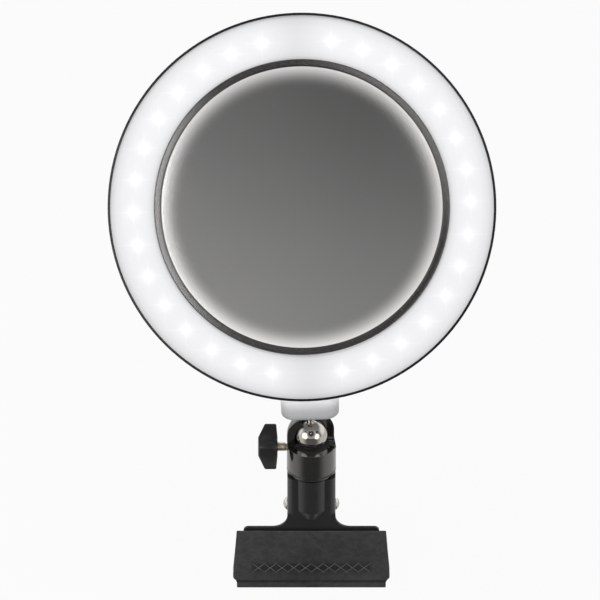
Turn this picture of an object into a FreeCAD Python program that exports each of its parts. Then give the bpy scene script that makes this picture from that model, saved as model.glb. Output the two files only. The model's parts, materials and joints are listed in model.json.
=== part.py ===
import FreeCAD, Part
import math
import os

from FreeCAD import Placement, Rotation, Vector

# Ring light with a round mirror, on a mini ball head and a T-shaped spring clamp.
# Row frame, millimetres: +Z up along the ball head, +X to the right, the light faces -Y.
# The origin is the middle of the closed jaw, where the two rubber lips meet.

# ---- Ring head -------------------------------------------------------------------------------
RING_DIAMETER = 203.2
RING_DEPTH = 18.0
RING_LEAN = 35.0              # how far the ring leans back from the neck at rest, degrees
HEAD_LEAN = 2.3               # how far the head leans to the left on its ball at rest, degrees
SHELL_WALL = 2.0
SHELL_CORNER = 4.0
TRIM_WIDTH = 1.3
TRIM_DEPTH = 3.0
TRIM_OVERHANG = 0.4
DIFFUSER_THICKNESS = 2.2
LIGHT_BAND_WIDTH = 24.3         # from the mirror's bezel to the ring's edge
BEZEL_LIP = 3.8
BEZEL_SKIRT_WALL = 1.4
BEZEL_PROUD = 0.4
BEZEL_BEVEL = 0.8
BEZEL_EDGE = 0.5
BEZEL_DEPTH = 12.4
MIRROR_THICKNESS = 2.0
MIRROR_SEAT_GAP = 0.2
BACKING_THICKNESS = 1.0
COVER_THICKNESS = 1.6
COVER_RIM = 2.0
COVER_STIFFENER_WIDTH = 2.0
PART_GAP = 0.1                # gap between pieces that snap together

LED_CIRCLE_SHARE = 0.444        # shares of the light band, from the bezel outwards
LEDS_PER_SIDE = 15
LED_FIRST_ANGLE = 11.8        # from the top of the ring, degrees
LED_PITCH_ANGLE = 11.17
LED_SIZE = 5.0
LED_HEIGHT = 1.4
BOARD_THICKNESS = 1.5
BOARD_INNER_SHARE = 0.173
BOARD_OUTER_SHARE = 0.687
BOARD_STANDOFF = 5.6
REFLECTOR_THICKNESS = 0.5
RIB_COUNT = 12
RIB_THICKNESS = 1.4

SCREW_COUNT = 6
SCREW_RADIUS = 1.2
SCREW_HEAD_RADIUS = 2.4
SCREW_HEAD_HEIGHT = 1.5
SCREW_BITE = 3.0
RECESS_LENGTH = 3.0             # cross recess in a case screw
RECESS_WIDTH = 0.6
RECESS_DEPTH = 0.8
BOSS_RADIUS = 2.5
POST_LENGTH = 4.2

CONTROL_BOARD_START = 14.0    # angles from the bottom of the ring, degrees
CONTROL_BOARD_END = 57.5
CONTROL_BOARD_MARGIN = 4.0    # angle kept free of ribs at each end of the control board
CONTROL_BOARD_INNER_SHARE = 0.152
CONTROL_BOARD_EDGE_GAP = 0.7
CONTROL_BOARD_THICKNESS = 1.2
FOAM_THICKNESS = 0.6
FOAM_SHARE = 0.64             # share of the LED board's width
BUTTON_CIRCLE_SHARE = 0.4815
BUTTON_ANGLES = (22.0, 31.0, 40.0)
BUTTON_RADIUS = 3.5
BUTTON_FLANGE_RADIUS = 4.3
BUTTON_FLANGE_THICKNESS = 0.8
BUTTON_PROUD = 1.0
BUTTON_CHAMFER = 0.5
BUTTON_TRAVEL = 0.6
BUTTON_CLEARANCE = 0.15
SWITCH_SIZE = 6.0
USB_ANGLE = 53.0
USB_WIDTH = 7.6
USB_HEIGHT = 2.7
USB_LENGTH = 5.6
USB_WALL = 0.4
USB_TONGUE_THICKNESS = 0.6
USB_BACK_WALL = 1.0

# ---- Neck and its tilt hinge -----------------------------------------------------------------
NECK_WIDTH = 30.4
NECK_DEPTH = 20.0
NECK_CORNER = 7.5
NECK_EDGE = 1.0
HINGE_ABOVE_BALL = 30.2
HINGE_ABOVE_RING_EDGE = 7.0
HINGE_BEHIND_RING = 11.5
NECK_BOTTOM_ABOVE_BALL = 16.1
EAR_RADIUS = 4.8
EAR_THICKNESS = 3.8
EAR_GAP = 0.4
EAR_FOOT = 15.0
EAR_FOOT_INSET = 1.0
HINGE_SCREW_RADIUS = 2.0
HINGE_HEAD_RADIUS = 3.6
HINGE_HEAD_HEIGHT = 2.2
HINGE_SOCKET_RADIUS = 1.4
HINGE_SOCKET_FLOOR = 0.8
HINGE_NUT_HEIGHT = 3.2
HINGE_NUT_FLATS = 7.0
WASHER_RADIUS = 4.5
WASHER_THICKNESS = 0.3
RUNNING_CLEARANCE = 0.05

# ---- Ball head -------------------------------------------------------------------------------
HOUSING_DIAMETER = 25.9
HOUSING_BASE_Z = 73.0
HOUSING_RIM_HEIGHT = 16.8
HOUSING_CHAMFER = 0.8
HOUSING_BORE_DIAMETER = 19.4
HOUSING_FLOOR = 8.5
BASE_GROOVE_HEIGHT = 1.9
BASE_GROOVE_WIDTH = 0.6
BASE_GROOVE_DEPTH = 0.35
BALL_HEIGHT = 22.3            # ball centre above the housing's base
BALL_DIAMETER = 16.9
BALL_CLEARANCE = 0.1
HOOD_INNER_RADIUS = 9.0
HOOD_FRONT_Y = -2.5
HOOD_OPENING_ANGLE = 36.0
NOTCH_HALF_WIDTH = 5.0
NOTCH_FLOOR = 14.0
SLIT_WIDTH = 1.6
SLIT_FLOOR = 8.6
STEM_RADIUS = 2.4
STEM_WAIST_RADIUS = 2.05
STEM_WAIST_LENGTH = 2.0
STEM_ROOT = 0.4                # how deep the stem starts in the ball
STUD_RADIUS = 3.12            # 1/4 inch thread, taken at its crest
STUD_LENGTH = 9.0
STUD_CHAMFER = 0.6
INSERT_RADIUS = 4.5
INSERT_LENGTH = 10.0
SEAT_CLEARANCE = 0.1
SEAT_TOP = 15.9
SEAT_HOLE_RADIUS = 3.5
LINER_ANGLE = 40.0
LINER_THICKNESS = 1.1
LINER_GATE_RADIUS = 1.2       # moulding gate at the liner's middle

LOCK_SCREW_HEIGHT = 14.6
LOCK_SCREW_RADIUS = 2.5
LOCK_SCREW_TIP = 11.2         # distance of the screw's tip from the housing axis
PAD_RADIUS = 2.4
PAD_CUP_DEPTH = 0.8
PAD_CUP_RADIUS = 1.7
KNOB_START = 17.8
KNOB_LENGTH = 10.2
KNOB_HUB_RADIUS = 5.0
KNOB_WING_SPAN = 23.9
KNOB_WING_THICKNESS = 5.2
KNOB_EDGE = 0.8
KNOB_WING_NEAR_SLOPE = 1.0     # how far the wings draw in along the screw by their tips
KNOB_WING_FAR_SLOPE = 3.6
KNOB_WING_SHOULDER = 0.6
KNOB_HUB_TAPER = 0.8
KNOB_SCREW_DEPTH = 7.5

# ---- Spring clamp ----------------------------------------------------------------------------
SHEET = 1.2
HANDLE_WIDTH = 25.4
HANDLE_CORNER = 4.0
WEB_Y = 10.0                  # distance of each plate's outer face from the pin's plane
SHELF_BACK_Y = 10.0
PIN_Z = 50.9
PIN_RADIUS = 2.0
PIN_HEAD_RADIUS = 3.6
PIN_LENGTH = 29.6
EAR_PLATE_RADIUS = 5.5
BEND_Z = 49.6
JAW_LEAN = 9.0
RIB_WIDTH = 13.8
RIB_HEIGHT = 3.0
RIB_BOTTOM_Z = 53.0
ARM_HALF_WIDTH = 35.75
ARM_FILLET = 8.0
ARM_CORNER = 2.6
FRONT_ARM_TOP = 8.3           # distances down a jaw blade from its bend
REAR_ARM_TOP = 20.6
BLADE_LENGTH = 44.8
FRONT_PAD_TOP = 9.8
REAR_PAD_TOP = 23.0
PAD_PANEL_END = 46.6
PAD_LIP_END = 53.3
PAD_GROOVE = 0.9
PAD_TOP_HALF_WIDTH = 39.4
PAD_BOTTOM_HALF_WIDTH = 41.4
PAD_LIP_HALF_WIDTH = 39.8
PAD_FRONT_THICKNESS = 1.5
PAD_INNER_THICKNESS = 1.6
PAD_BEVEL = 0.6
PAD_CORNER = 1.8
LIP_SETBACK = 1.3
PAD_WEB_INSET = 0.8
PAD_MEETING_GAP = 0.15        # half of the gap between the closed lips
CROSS_COUNT = 10
CROSS_PITCH = 6.2
CROSS_WIDTH = 7.8
CROSS_HEIGHT = 7.7
CROSS_CENTRE = 36.7
CROSS_BAR = 0.55
CROSS_PROUD = 0.35
CROSS_ROOT = 0.3
PLATE_GAP = 0.35              # side gap between the nested plates
REAR_HANDLE_FLARE = 45.0
REAR_HANDLE_LENGTH = 34.0
REAR_FLANGE = 4.0
REAR_FLANGE_START = 8.0
REAR_EAR_STEP = 0.5            # how much smaller the rear plate's ears are
REAR_HANDLE_CORNER = 6.0
SPRING_WIRE = 1.6
SPRING_RADIUS = 4.3
SPRING_TURNS = 5
SPRING_PITCH = 2.0
SPRING_LEG = 17.0
SPRING_SLACK = 0.05
SLEEVE_RADIUS = 3.1
BASE_SCREW_RADIUS = 2.5
BASE_SCREW_DEPTH = 6.8
BASE_SCREW_HEAD_RADIUS = 4.2
BASE_SCREW_HEAD_HEIGHT = 2.2
BASE_SOCKET_RADIUS = 1.5
BASE_SOCKET_DEPTH = 1.3
BASE_WASHER_RADIUS = 5.0
BASE_WASHER_THICKNESS = 0.8

# ---- Values that follow from the ones above --------------------------------------------------
X_AXIS = Vector(1, 0, 0)
Y_AXIS = Vector(0, 1, 0)
Z_AXIS = Vector(0, 0, 1)

RING_R = RING_DIAMETER / 2
SHELL_R = RING_R - TRIM_OVERHANG
BEZEL_R = RING_R - LIGHT_BAND_WIDTH
LED_CIRCLE_R = BEZEL_R + LED_CIRCLE_SHARE * LIGHT_BAND_WIDTH
BOARD_INNER_R = BEZEL_R + BOARD_INNER_SHARE * LIGHT_BAND_WIDTH
BOARD_OUTER_R = BEZEL_R + BOARD_OUTER_SHARE * LIGHT_BAND_WIDTH
CONTROL_INNER_R = BEZEL_R + CONTROL_BOARD_INNER_SHARE * LIGHT_BAND_WIDTH
CONTROL_OUTER_R = SHELL_R - SHELL_WALL - CONTROL_BOARD_EDGE_GAP
BUTTON_CIRCLE_R = BEZEL_R + BUTTON_CIRCLE_SHARE * LIGHT_BAND_WIDTH
SCREW_CIRCLE_R = SHELL_R - SHELL_WALL - PART_GAP - BOSS_RADIUS
MIRROR_R = BEZEL_R - BEZEL_SKIRT_WALL - PART_GAP
MIRROR_FRONT = -(BEZEL_LIP - BEZEL_SKIRT_WALL) + BEZEL_PROUD - MIRROR_SEAT_GAP
CHANNEL_FLOOR = -RING_DEPTH + SHELL_WALL
BOARD_BACK = CHANNEL_FLOOR + BOARD_STANDOFF
BOARD_FRONT = BOARD_BACK + BOARD_THICKNESS
CONTROL_FRONT = BOARD_BACK - FOAM_THICKNESS
CONTROL_BACK = CONTROL_FRONT - CONTROL_BOARD_THICKNESS
SWITCH_FACE = CHANNEL_FLOOR + BUTTON_FLANGE_THICKNESS + BUTTON_TRAVEL + PART_GAP
CONTROL_BOARD_SPAN = CONTROL_BOARD_END - CONTROL_BOARD_START + CONTROL_BOARD_MARGIN
HINGE_Y = -(RING_R - HINGE_ABOVE_RING_EDGE)
HINGE_Z = -RING_DEPTH - HINGE_BEHIND_RING
EAR_X = NECK_WIDTH / 2 + EAR_GAP

BALL_R = BALL_DIAMETER / 2
BALL_CENTRE = Vector(0, 0, HOUSING_BASE_Z + BALL_HEIGHT)
HINGE_POINT = BALL_CENTRE + Vector(0, 0, HINGE_ABOVE_BALL)
NECK_BOTTOM_Z = BALL_CENTRE.z + NECK_BOTTOM_ABOVE_BALL
HOUSING_R = HOUSING_DIAMETER / 2
LOCK_Z = HOUSING_BASE_Z + LOCK_SCREW_HEIGHT
HANDLE_HALF = HANDLE_WIDTH / 2
REAR_HALF = HANDLE_HALF - SHEET - PLATE_GAP
SHELF_BOTTOM = HOUSING_BASE_Z - SHEET
FLARE = Vector(0, math.sin(math.radians(REAR_HANDLE_FLARE)), math.cos(math.radians(REAR_HANDLE_FLARE)))
INWARD = Vector(0, -FLARE.z, FLARE.y)


# ---- Building blocks -------------------------------------------------------------------------
def disc(radius, low, high, x=0.0, y=0.0):
    """A cylinder along Z between two heights."""
    return Part.makeCylinder(radius, high - low, Vector(x, y, low))


def ring(inner, outer, low, high):
    """A flat ring about Z."""
    return disc(outer, low, high).cut(disc(inner, low, high))


def rod(radius, start, end):
    """A cylinder from one point to another."""
    return Part.makeCylinder(radius, (end - start).Length, start, end - start)


def block(x0, x1, y0, y1, z0, z1):
    """A box between two corners."""
    return Part.makeBox(x1 - x0, y1 - y0, z1 - z0, Vector(x0, y0, z0))


def turned(points):
    """A solid of revolution about Z from (radius, height) points."""
    outline = [Vector(r, 0, z) for r, z in points]
    return Part.Face(Part.makePolygon(outline + outline[:1])).revolve(Vector(), Z_AXIS, 360)


def side_plate(edges, half_width):
    """An outline in the YZ plane, extruded symmetrically along X."""
    face = Part.Face(Part.Wire(edges))
    plate = face.extrude(Vector(2 * half_width, 0, 0))
    plate.translate(Vector(-half_width, 0, 0))
    return plate


def lines(points):
    """Straight edges through the points."""
    return [Part.LineSegment(a, b).toShape() for a, b in zip(points, points[1:])]


def polar(radius, angle, z=0.0):
    """A point at an angle in degrees, anticlockwise from +X."""
    return Vector(radius * math.cos(math.radians(angle)), radius * math.sin(math.radians(angle)), z)


def turned_to(shape, angle):
    """A copy of a shape turned about Z."""
    copy = shape.copy()
    copy.rotate(Vector(), Z_AXIS, angle)
    return copy


def sector(inner, outer, start, end, low, high):
    """A part of a flat ring between two angles."""
    piece = Part.makeCylinder(outer, high - low, Vector(0, 0, low), Z_AXIS, end - start)
    piece.rotate(Vector(), Z_AXIS, start)
    return piece.cut(disc(inner, low, high))


def tangent_point(point, centre, radius, side):
    """Where the tangent from a point touches a circle in the YZ plane."""
    away = point - centre
    turn = side * math.acos(radius / away.Length)
    start = math.atan2(away.z, away.y)
    return centre + Vector(0, radius * math.cos(start + turn), radius * math.sin(start + turn))


def edge_circles(shape, radius, z):
    """The circular edges of one radius at one height."""
    return [e for e in shape.Edges if isinstance(e.Curve, Part.Circle)
            and abs(e.Curve.Radius - radius) < 1e-6 and abs(e.Curve.Center.z - z) < 1e-6]


# ---- Ring head, in its own frame: +Z out of the front face, +Y to the ring's top -------------
def screw_angles():
    return [90 + 360 * k / SCREW_COUNT for k in range(SCREW_COUNT)]


def led_angles():
    right = [90 - LED_FIRST_ANGLE - k * LED_PITCH_ANGLE for k in range(LEDS_PER_SIDE)]
    return right + [180 - a for a in right]


def bottom_angle(angle):
    """An angle from the bottom of the ring, as one from +X."""
    return 270 + angle


def hinge_ear(x):
    """One ear that stands back from the shell and holds the hinge screw."""
    centre = Vector(x, HINGE_Y, HINGE_Z)
    root_z = CHANNEL_FLOOR - SHELL_WALL / 4
    low_foot = Vector(x, HINGE_Y - EAR_RADIUS + EAR_FOOT_INSET, root_z)
    high_foot = Vector(x, HINGE_Y + EAR_FOOT, root_z)
    low = tangent_point(low_foot, centre, EAR_RADIUS, 1)
    high = tangent_point(high_foot, centre, EAR_RADIUS, -1)
    far = centre + Vector(0, 0, -EAR_RADIUS)
    edges = lines([high, high_foot, low_foot, low])
    edges.append(Part.Arc(low, far, high).toShape())
    ear = Part.Face(Part.Wire(edges)).extrude(Vector(EAR_THICKNESS, 0, 0))
    hole = rod(HINGE_SCREW_RADIUS + RUNNING_CLEARANCE, centre - X_AXIS, centre + X_AXIS * (EAR_THICKNESS + 1))
    return ear.cut(hole)


def shell_rib():
    return block(BEZEL_R + SHELL_WALL, BOARD_OUTER_R, -RIB_THICKNESS / 2, RIB_THICKNESS / 2,
                 CHANNEL_FLOOR - SHELL_WALL / 4, BOARD_BACK)


def make_rear_shell():
    inner = BEZEL_R + PART_GAP
    floor, back, rim = CHANNEL_FLOOR, -RING_DEPTH, -TRIM_DEPTH
    shell = turned([(inner, back), (SHELL_R, back), (SHELL_R, rim), (SHELL_R - SHELL_WALL, rim),
                    (SHELL_R - SHELL_WALL, floor), (inner + SHELL_WALL, floor),
                    (inner + SHELL_WALL, rim), (inner, rim)])
    shell = shell.makeFillet(SHELL_CORNER, edge_circles(shell, SHELL_R, back))
    added = []
    for k in range(RIB_COUNT):
        angle = (k + 0.5) * 360 / RIB_COUNT
        from_bottom = (angle - 270) % 360
        if not -CONTROL_BOARD_MARGIN < from_bottom - CONTROL_BOARD_START < CONTROL_BOARD_SPAN:
            added.append(turned_to(shell_rib(), angle))
    bored = []
    for angle in screw_angles():
        at = polar(SCREW_CIRCLE_R, angle)
        added.append(disc(BOSS_RADIUS, floor - SHELL_WALL / 4, -TRIM_DEPTH - POST_LENGTH, at.x, at.y))
        bored.append(disc(SCREW_RADIUS + PART_GAP, back - 1, 0, at.x, at.y))
        bored.append(disc(SCREW_HEAD_RADIUS + 2 * PART_GAP, back - 1, back + SCREW_HEAD_HEIGHT + PART_GAP,
                          at.x, at.y))
    for angle in BUTTON_ANGLES:
        at = polar(BUTTON_CIRCLE_R, bottom_angle(angle))
        bored.append(disc(BUTTON_RADIUS + BUTTON_CLEARANCE, back - 1, floor + 1, at.x, at.y))
    bored.append(usb_block(PART_GAP, USB_LENGTH + 2 * SHELL_WALL))
    return shell.fuse(added).cut(Part.makeCompound(bored)).removeSplitter()


def make_hinge_ears(shell):
    """The two ears, which follow the shell's back where they stand on it."""
    return Part.makeCompound([hinge_ear(x).cut(shell) for x in (EAR_X, -EAR_X - EAR_THICKNESS)])


def usb_block(grow, length):
    """The inlet's outline, standing out radially from the control board."""
    mouth = SHELL_R - SHELL_WALL / 2
    start = mouth - USB_LENGTH - grow
    piece = block(start, start + length, -USB_WIDTH / 2 - grow, USB_WIDTH / 2 + grow,
                  CONTROL_BACK - USB_HEIGHT - grow, CONTROL_BACK)
    return turned_to(piece, bottom_angle(USB_ANGLE))


def make_usb_socket():
    mouth = SHELL_R - SHELL_WALL / 2
    piece = block(mouth - USB_LENGTH, mouth, -USB_WIDTH / 2, USB_WIDTH / 2, CONTROL_BACK - USB_HEIGHT, CONTROL_BACK)
    hollow = block(mouth - USB_LENGTH + USB_BACK_WALL, mouth + 1, -USB_WIDTH / 2 + USB_WALL, USB_WIDTH / 2 - USB_WALL,
                   CONTROL_BACK - USB_HEIGHT + USB_WALL, CONTROL_BACK - USB_WALL)
    tongue = block(mouth - USB_LENGTH + USB_BACK_WALL, mouth - USB_BACK_WALL, -USB_WIDTH / 4, USB_WIDTH / 4,
                   CONTROL_BACK - USB_HEIGHT / 2, CONTROL_BACK - USB_HEIGHT / 2 + USB_TONGUE_THICKNESS)
    return turned_to(piece.cut(hollow).fuse(tongue), bottom_angle(USB_ANGLE))


def make_outer_trim():
    return ring(RING_R - TRIM_WIDTH, RING_R, -TRIM_DEPTH, 0)


def make_diffuser():
    face = ring(BEZEL_R + PART_GAP, RING_R - TRIM_WIDTH, -TRIM_DEPTH, -TRIM_DEPTH + DIFFUSER_THICKNESS)
    posts, holes = [], []
    for angle in screw_angles():
        at = polar(SCREW_CIRCLE_R, angle)
        posts.append(disc(BOSS_RADIUS, -TRIM_DEPTH - POST_LENGTH, -TRIM_DEPTH, at.x, at.y))
        holes.append(disc(SCREW_RADIUS, -TRIM_DEPTH - POST_LENGTH, -TRIM_DEPTH - POST_LENGTH + SCREW_BITE,
                          at.x, at.y))
    return face.fuse(posts).cut(Part.makeCompound(holes)).removeSplitter()


def make_mirror_bezel():
    inner, skirt = BEZEL_R - BEZEL_LIP, BEZEL_R - BEZEL_SKIRT_WALL
    return turned([(inner, MIRROR_FRONT), (inner, BEZEL_PROUD - BEZEL_BEVEL), (inner + BEZEL_BEVEL, BEZEL_PROUD),
                   (BEZEL_R - BEZEL_EDGE, BEZEL_PROUD), (BEZEL_R, BEZEL_PROUD - BEZEL_EDGE), (BEZEL_R, -BEZEL_DEPTH),
                   (skirt, -BEZEL_DEPTH), (skirt, MIRROR_FRONT)])


def make_mirror():
    return disc(MIRROR_R, MIRROR_FRONT - MIRROR_THICKNESS, MIRROR_FRONT)


def make_mirror_backing():
    front = MIRROR_FRONT - MIRROR_THICKNESS
    return disc(MIRROR_R, front - BACKING_THICKNESS, front)


def make_mirror_back_cover():
    front = MIRROR_FRONT - MIRROR_THICKNESS - BACKING_THICKNESS
    inner = MIRROR_R - COVER_RIM
    plate = -BEZEL_DEPTH
    stiffener = inner / 2
    far = stiffener + COVER_STIFFENER_WIDTH
    return turned([(0, plate), (MIRROR_R, plate), (MIRROR_R, front), (inner, front),
                   (inner, plate + COVER_THICKNESS), (far, plate + COVER_THICKNESS),
                   (far, plate + 2 * COVER_THICKNESS), (stiffener, plate + 2 * COVER_THICKNESS),
                   (stiffener, plate + COVER_THICKNESS), (0, plate + COVER_THICKNESS)])


def post_clearances(low, high):
    """Room for the screw posts, where they come near a board."""
    spots = [polar(SCREW_CIRCLE_R, angle) for angle in screw_angles()]
    return Part.makeCompound([disc(BOSS_RADIUS + PART_GAP, low, high, at.x, at.y) for at in spots])


def make_led_board():
    board = ring(BOARD_INNER_R, BOARD_OUTER_R, BOARD_BACK, BOARD_FRONT)
    return board.cut(post_clearances(BOARD_BACK, BOARD_FRONT))


def led_blocks(size, low, high):
    """One square block under each light, turned to face the ring's centre."""
    radius = LED_CIRCLE_R
    one = block(radius - size / 2, radius + size / 2, -size / 2, size / 2, low, high)
    return [turned_to(one, angle) for angle in led_angles()]


def make_leds():
    return Part.makeCompound(led_blocks(LED_SIZE, BOARD_FRONT, BOARD_FRONT + LED_HEIGHT))


def make_reflector_sheet():
    sheet = ring(BEZEL_R + SHELL_WALL + 3 * PART_GAP, BOARD_OUTER_R, BOARD_FRONT,
                 BOARD_FRONT + REFLECTOR_THICKNESS)
    windows = led_blocks(LED_SIZE + 4 * PART_GAP, BOARD_FRONT - 1, BOARD_FRONT + 1)
    posts = post_clearances(BOARD_FRONT, BOARD_FRONT + REFLECTOR_THICKNESS)
    return sheet.cut([Part.makeCompound(windows), posts])


def make_control_board():
    return sector(CONTROL_INNER_R, CONTROL_OUTER_R,
                  bottom_angle(CONTROL_BOARD_START), bottom_angle(CONTROL_BOARD_END), CONTROL_BACK, CONTROL_FRONT)


def make_foam_pad():
    middle = (BOARD_INNER_R + BOARD_OUTER_R) / 2
    half = FOAM_SHARE * (BOARD_OUTER_R - BOARD_INNER_R) / 2
    start, end = CONTROL_BOARD_START + CONTROL_BOARD_MARGIN, CONTROL_BOARD_END - CONTROL_BOARD_MARGIN
    return sector(middle - half, middle + half, bottom_angle(start), bottom_angle(end), CONTROL_FRONT, BOARD_BACK)


def make_tact_switches():
    switches = []
    for angle in BUTTON_ANGLES:
        radius = BUTTON_CIRCLE_R
        half = SWITCH_SIZE / 2
        body = block(radius - half, radius + half, -half, half, SWITCH_FACE, CONTROL_BACK)
        switches.append(turned_to(body, bottom_angle(angle)))
    return Part.makeCompound(switches)


def make_button(angle):
    at = polar(BUTTON_CIRCLE_R, bottom_angle(angle))
    back, floor = -RING_DEPTH - BUTTON_PROUD, CHANNEL_FLOOR
    cap = disc(BUTTON_RADIUS, back, floor + BUTTON_FLANGE_THICKNESS, at.x, at.y)
    cap = cap.makeChamfer(BUTTON_CHAMFER, edge_circles(cap, BUTTON_RADIUS, back))
    flange = disc(BUTTON_FLANGE_RADIUS, floor, floor + BUTTON_FLANGE_THICKNESS, at.x, at.y)
    return cap.fuse(flange).removeSplitter()


def make_case_screws():
    screws = []
    for angle in screw_angles():
        at = polar(SCREW_CIRCLE_R, angle)
        seat = -RING_DEPTH + SCREW_HEAD_HEIGHT + PART_GAP
        head = disc(SCREW_HEAD_RADIUS, seat - SCREW_HEAD_HEIGHT, seat, at.x, at.y)
        shank = disc(SCREW_RADIUS, seat, -TRIM_DEPTH - POST_LENGTH + SCREW_BITE, at.x, at.y)
        outer = seat - SCREW_HEAD_HEIGHT
        arms = [block(at.x - x / 2, at.x + x / 2, at.y - y / 2, at.y + y / 2, outer, outer + RECESS_DEPTH)
                for x, y in ((RECESS_LENGTH, RECESS_WIDTH), (RECESS_WIDTH, RECESS_LENGTH))]
        screws.append(head.fuse(shank).cut(arms).removeSplitter())
    return Part.makeCompound(screws)


def hinge_local(x):
    """A point on the tilt hinge's axis."""
    return Vector(x, HINGE_Y, HINGE_Z)


def make_hinge_screw():
    ear_end = EAR_X + EAR_THICKNESS
    shank = rod(HINGE_SCREW_RADIUS, hinge_local(-ear_end - HINGE_NUT_HEIGHT), hinge_local(ear_end))
    head = rod(HINGE_HEAD_RADIUS, hinge_local(ear_end), hinge_local(ear_end + HINGE_HEAD_HEIGHT))
    socket = rod(HINGE_SOCKET_RADIUS, hinge_local(ear_end + HINGE_SOCKET_FLOOR),
                 hinge_local(ear_end + HINGE_HEAD_HEIGHT + 1))
    return shank.fuse(head).cut(socket).removeSplitter()


def make_hinge_nut():
    corner = HINGE_NUT_FLATS / math.sqrt(3)
    start = -EAR_X - EAR_THICKNESS
    outline = [Vector(start, HINGE_Y + corner * math.cos(math.radians(60 * k)),
                      HINGE_Z + corner * math.sin(math.radians(60 * k))) for k in range(7)]
    nut = Part.Face(Part.makePolygon(outline)).extrude(Vector(-HINGE_NUT_HEIGHT, 0, 0))
    return nut.cut(rod(HINGE_SCREW_RADIUS, hinge_local(start - HINGE_NUT_HEIGHT - 1), hinge_local(start + 1)))


def make_friction_washers():
    washers = []
    for side in (-1, 1):
        inner = side * (EAR_X - WASHER_THICKNESS)
        washer = rod(WASHER_RADIUS, hinge_local(inner), hinge_local(side * EAR_X))
        hole = rod(HINGE_SCREW_RADIUS, hinge_local(inner - side), hinge_local(side * (EAR_X + 1)))
        washers.append(washer.cut(hole))
    return Part.makeCompound(washers)


def ring_placement():
    """Puts the ring head's frame on the hinge, leaning back by RING_LEAN."""
    rotation = Rotation(X_AXIS, 90 - RING_LEAN)
    return Placement(HINGE_POINT - rotation.multVec(hinge_local(0)), rotation)


# ---- Neck ------------------------------------------------------------------------------------
def make_neck():
    half_depth = NECK_DEPTH / 2
    top = HINGE_POINT.z + half_depth
    column = block(-NECK_WIDTH / 2, NECK_WIDTH / 2, -half_depth, half_depth, NECK_BOTTOM_Z, top)
    upright = [e for e in column.Edges if abs(e.Vertexes[0].Z - e.Vertexes[1].Z) > 1]
    column = column.makeFillet(NECK_CORNER, upright)
    low = NECK_BOTTOM_Z
    crown = Part.Arc(Vector(0, half_depth, HINGE_POINT.z), Vector(0, 0, top), Vector(0, -half_depth, HINGE_POINT.z))
    edges = lines([Vector(0, -half_depth, HINGE_POINT.z), Vector(0, -half_depth, low),
                   Vector(0, half_depth, low), Vector(0, half_depth, HINGE_POINT.z)])
    neck = column.common(side_plate(edges + [crown.toShape()], NECK_WIDTH))
    bottom = [e for e in neck.Edges if all(abs(v.Z - low) < 1e-6 for v in e.Vertexes)]
    neck = neck.makeFillet(NECK_EDGE, bottom)
    pocket = disc(INSERT_RADIUS, low - 1, low + INSERT_LENGTH)
    hinge_bore = rod(HINGE_SCREW_RADIUS + RUNNING_CLEARANCE, HINGE_POINT - X_AXIS * NECK_WIDTH,
                     HINGE_POINT + X_AXIS * NECK_WIDTH)
    return neck.cut(pocket).cut(hinge_bore)


def make_threaded_insert():
    return ring(STUD_RADIUS + RUNNING_CLEARANCE, INSERT_RADIUS, NECK_BOTTOM_Z, NECK_BOTTOM_Z + INSERT_LENGTH)


# ---- Ball head -------------------------------------------------------------------------------
def make_ball_stud():
    ball = Part.makeSphere(BALL_R, BALL_CENTRE)
    waist = BALL_CENTRE.z + BALL_R - STEM_ROOT
    stem = disc(STEM_WAIST_RADIUS, BALL_CENTRE.z + BALL_R / 2, waist + STEM_WAIST_LENGTH / 2)
    flare = Part.makeCone(STEM_WAIST_RADIUS, STEM_RADIUS, STEM_WAIST_LENGTH / 2,
                          Vector(0, 0, waist + STEM_WAIST_LENGTH / 2))
    upper = disc(STEM_RADIUS, waist + STEM_WAIST_LENGTH, NECK_BOTTOM_Z)
    stud = disc(STUD_RADIUS, NECK_BOTTOM_Z, NECK_BOTTOM_Z + STUD_LENGTH)
    stud = stud.makeChamfer(STUD_CHAMFER, edge_circles(stud, STUD_RADIUS, NECK_BOTTOM_Z + STUD_LENGTH))
    return ball.fuse([stem, flare, upper, stud]).removeSplitter()


def housing_body():
    base, centre = HOUSING_BASE_Z, BALL_CENTRE.z
    wall = disc(HOUSING_R, base, centre)
    wall = wall.makeChamfer(HOUSING_CHAMFER, edge_circles(wall, HOUSING_R, base))
    body = wall.fuse(Part.makeSphere(HOUSING_R, BALL_CENTRE)).removeSplitter()
    groove_low = base + BASE_GROOVE_HEIGHT
    return body.cut(ring(HOUSING_R - BASE_GROOVE_DEPTH, HOUSING_R + 1, groove_low, groove_low + BASE_GROOVE_WIDTH))


def hood_opening():
    """The cone at the top, the open front and the side notch that the stem moves through."""
    reach = 2 * HOUSING_R
    centre = BALL_CENTRE
    cone = Part.makeCone(0, reach * math.tan(math.radians(HOOD_OPENING_ANGLE)), reach, centre)
    front = block(-reach, reach, -reach, HOOD_FRONT_Y, HOUSING_BASE_Z + HOUSING_RIM_HEIGHT, centre.z + reach)
    notch_z = HOUSING_BASE_Z + NOTCH_FLOOR + NOTCH_HALF_WIDTH
    notch = block(0, reach, -NOTCH_HALF_WIDTH, NOTCH_HALF_WIDTH, notch_z, centre.z + reach)
    notch_foot = rod(NOTCH_HALF_WIDTH, Vector(0, 0, notch_z), Vector(reach, 0, notch_z))
    return cone.fuse([front, notch, notch_foot])


def liner_solid(inner, outer):
    """A spherical dish behind the ball, round the Y axis."""
    reach = 2 * HOUSING_R
    cone = Part.makeCone(0, reach * math.tan(math.radians(LINER_ANGLE)), reach, BALL_CENTRE, Y_AXIS)
    shell = Part.makeSphere(outer, BALL_CENTRE).cut(Part.makeSphere(inner, BALL_CENTRE))
    return shell.common(cone)


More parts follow.
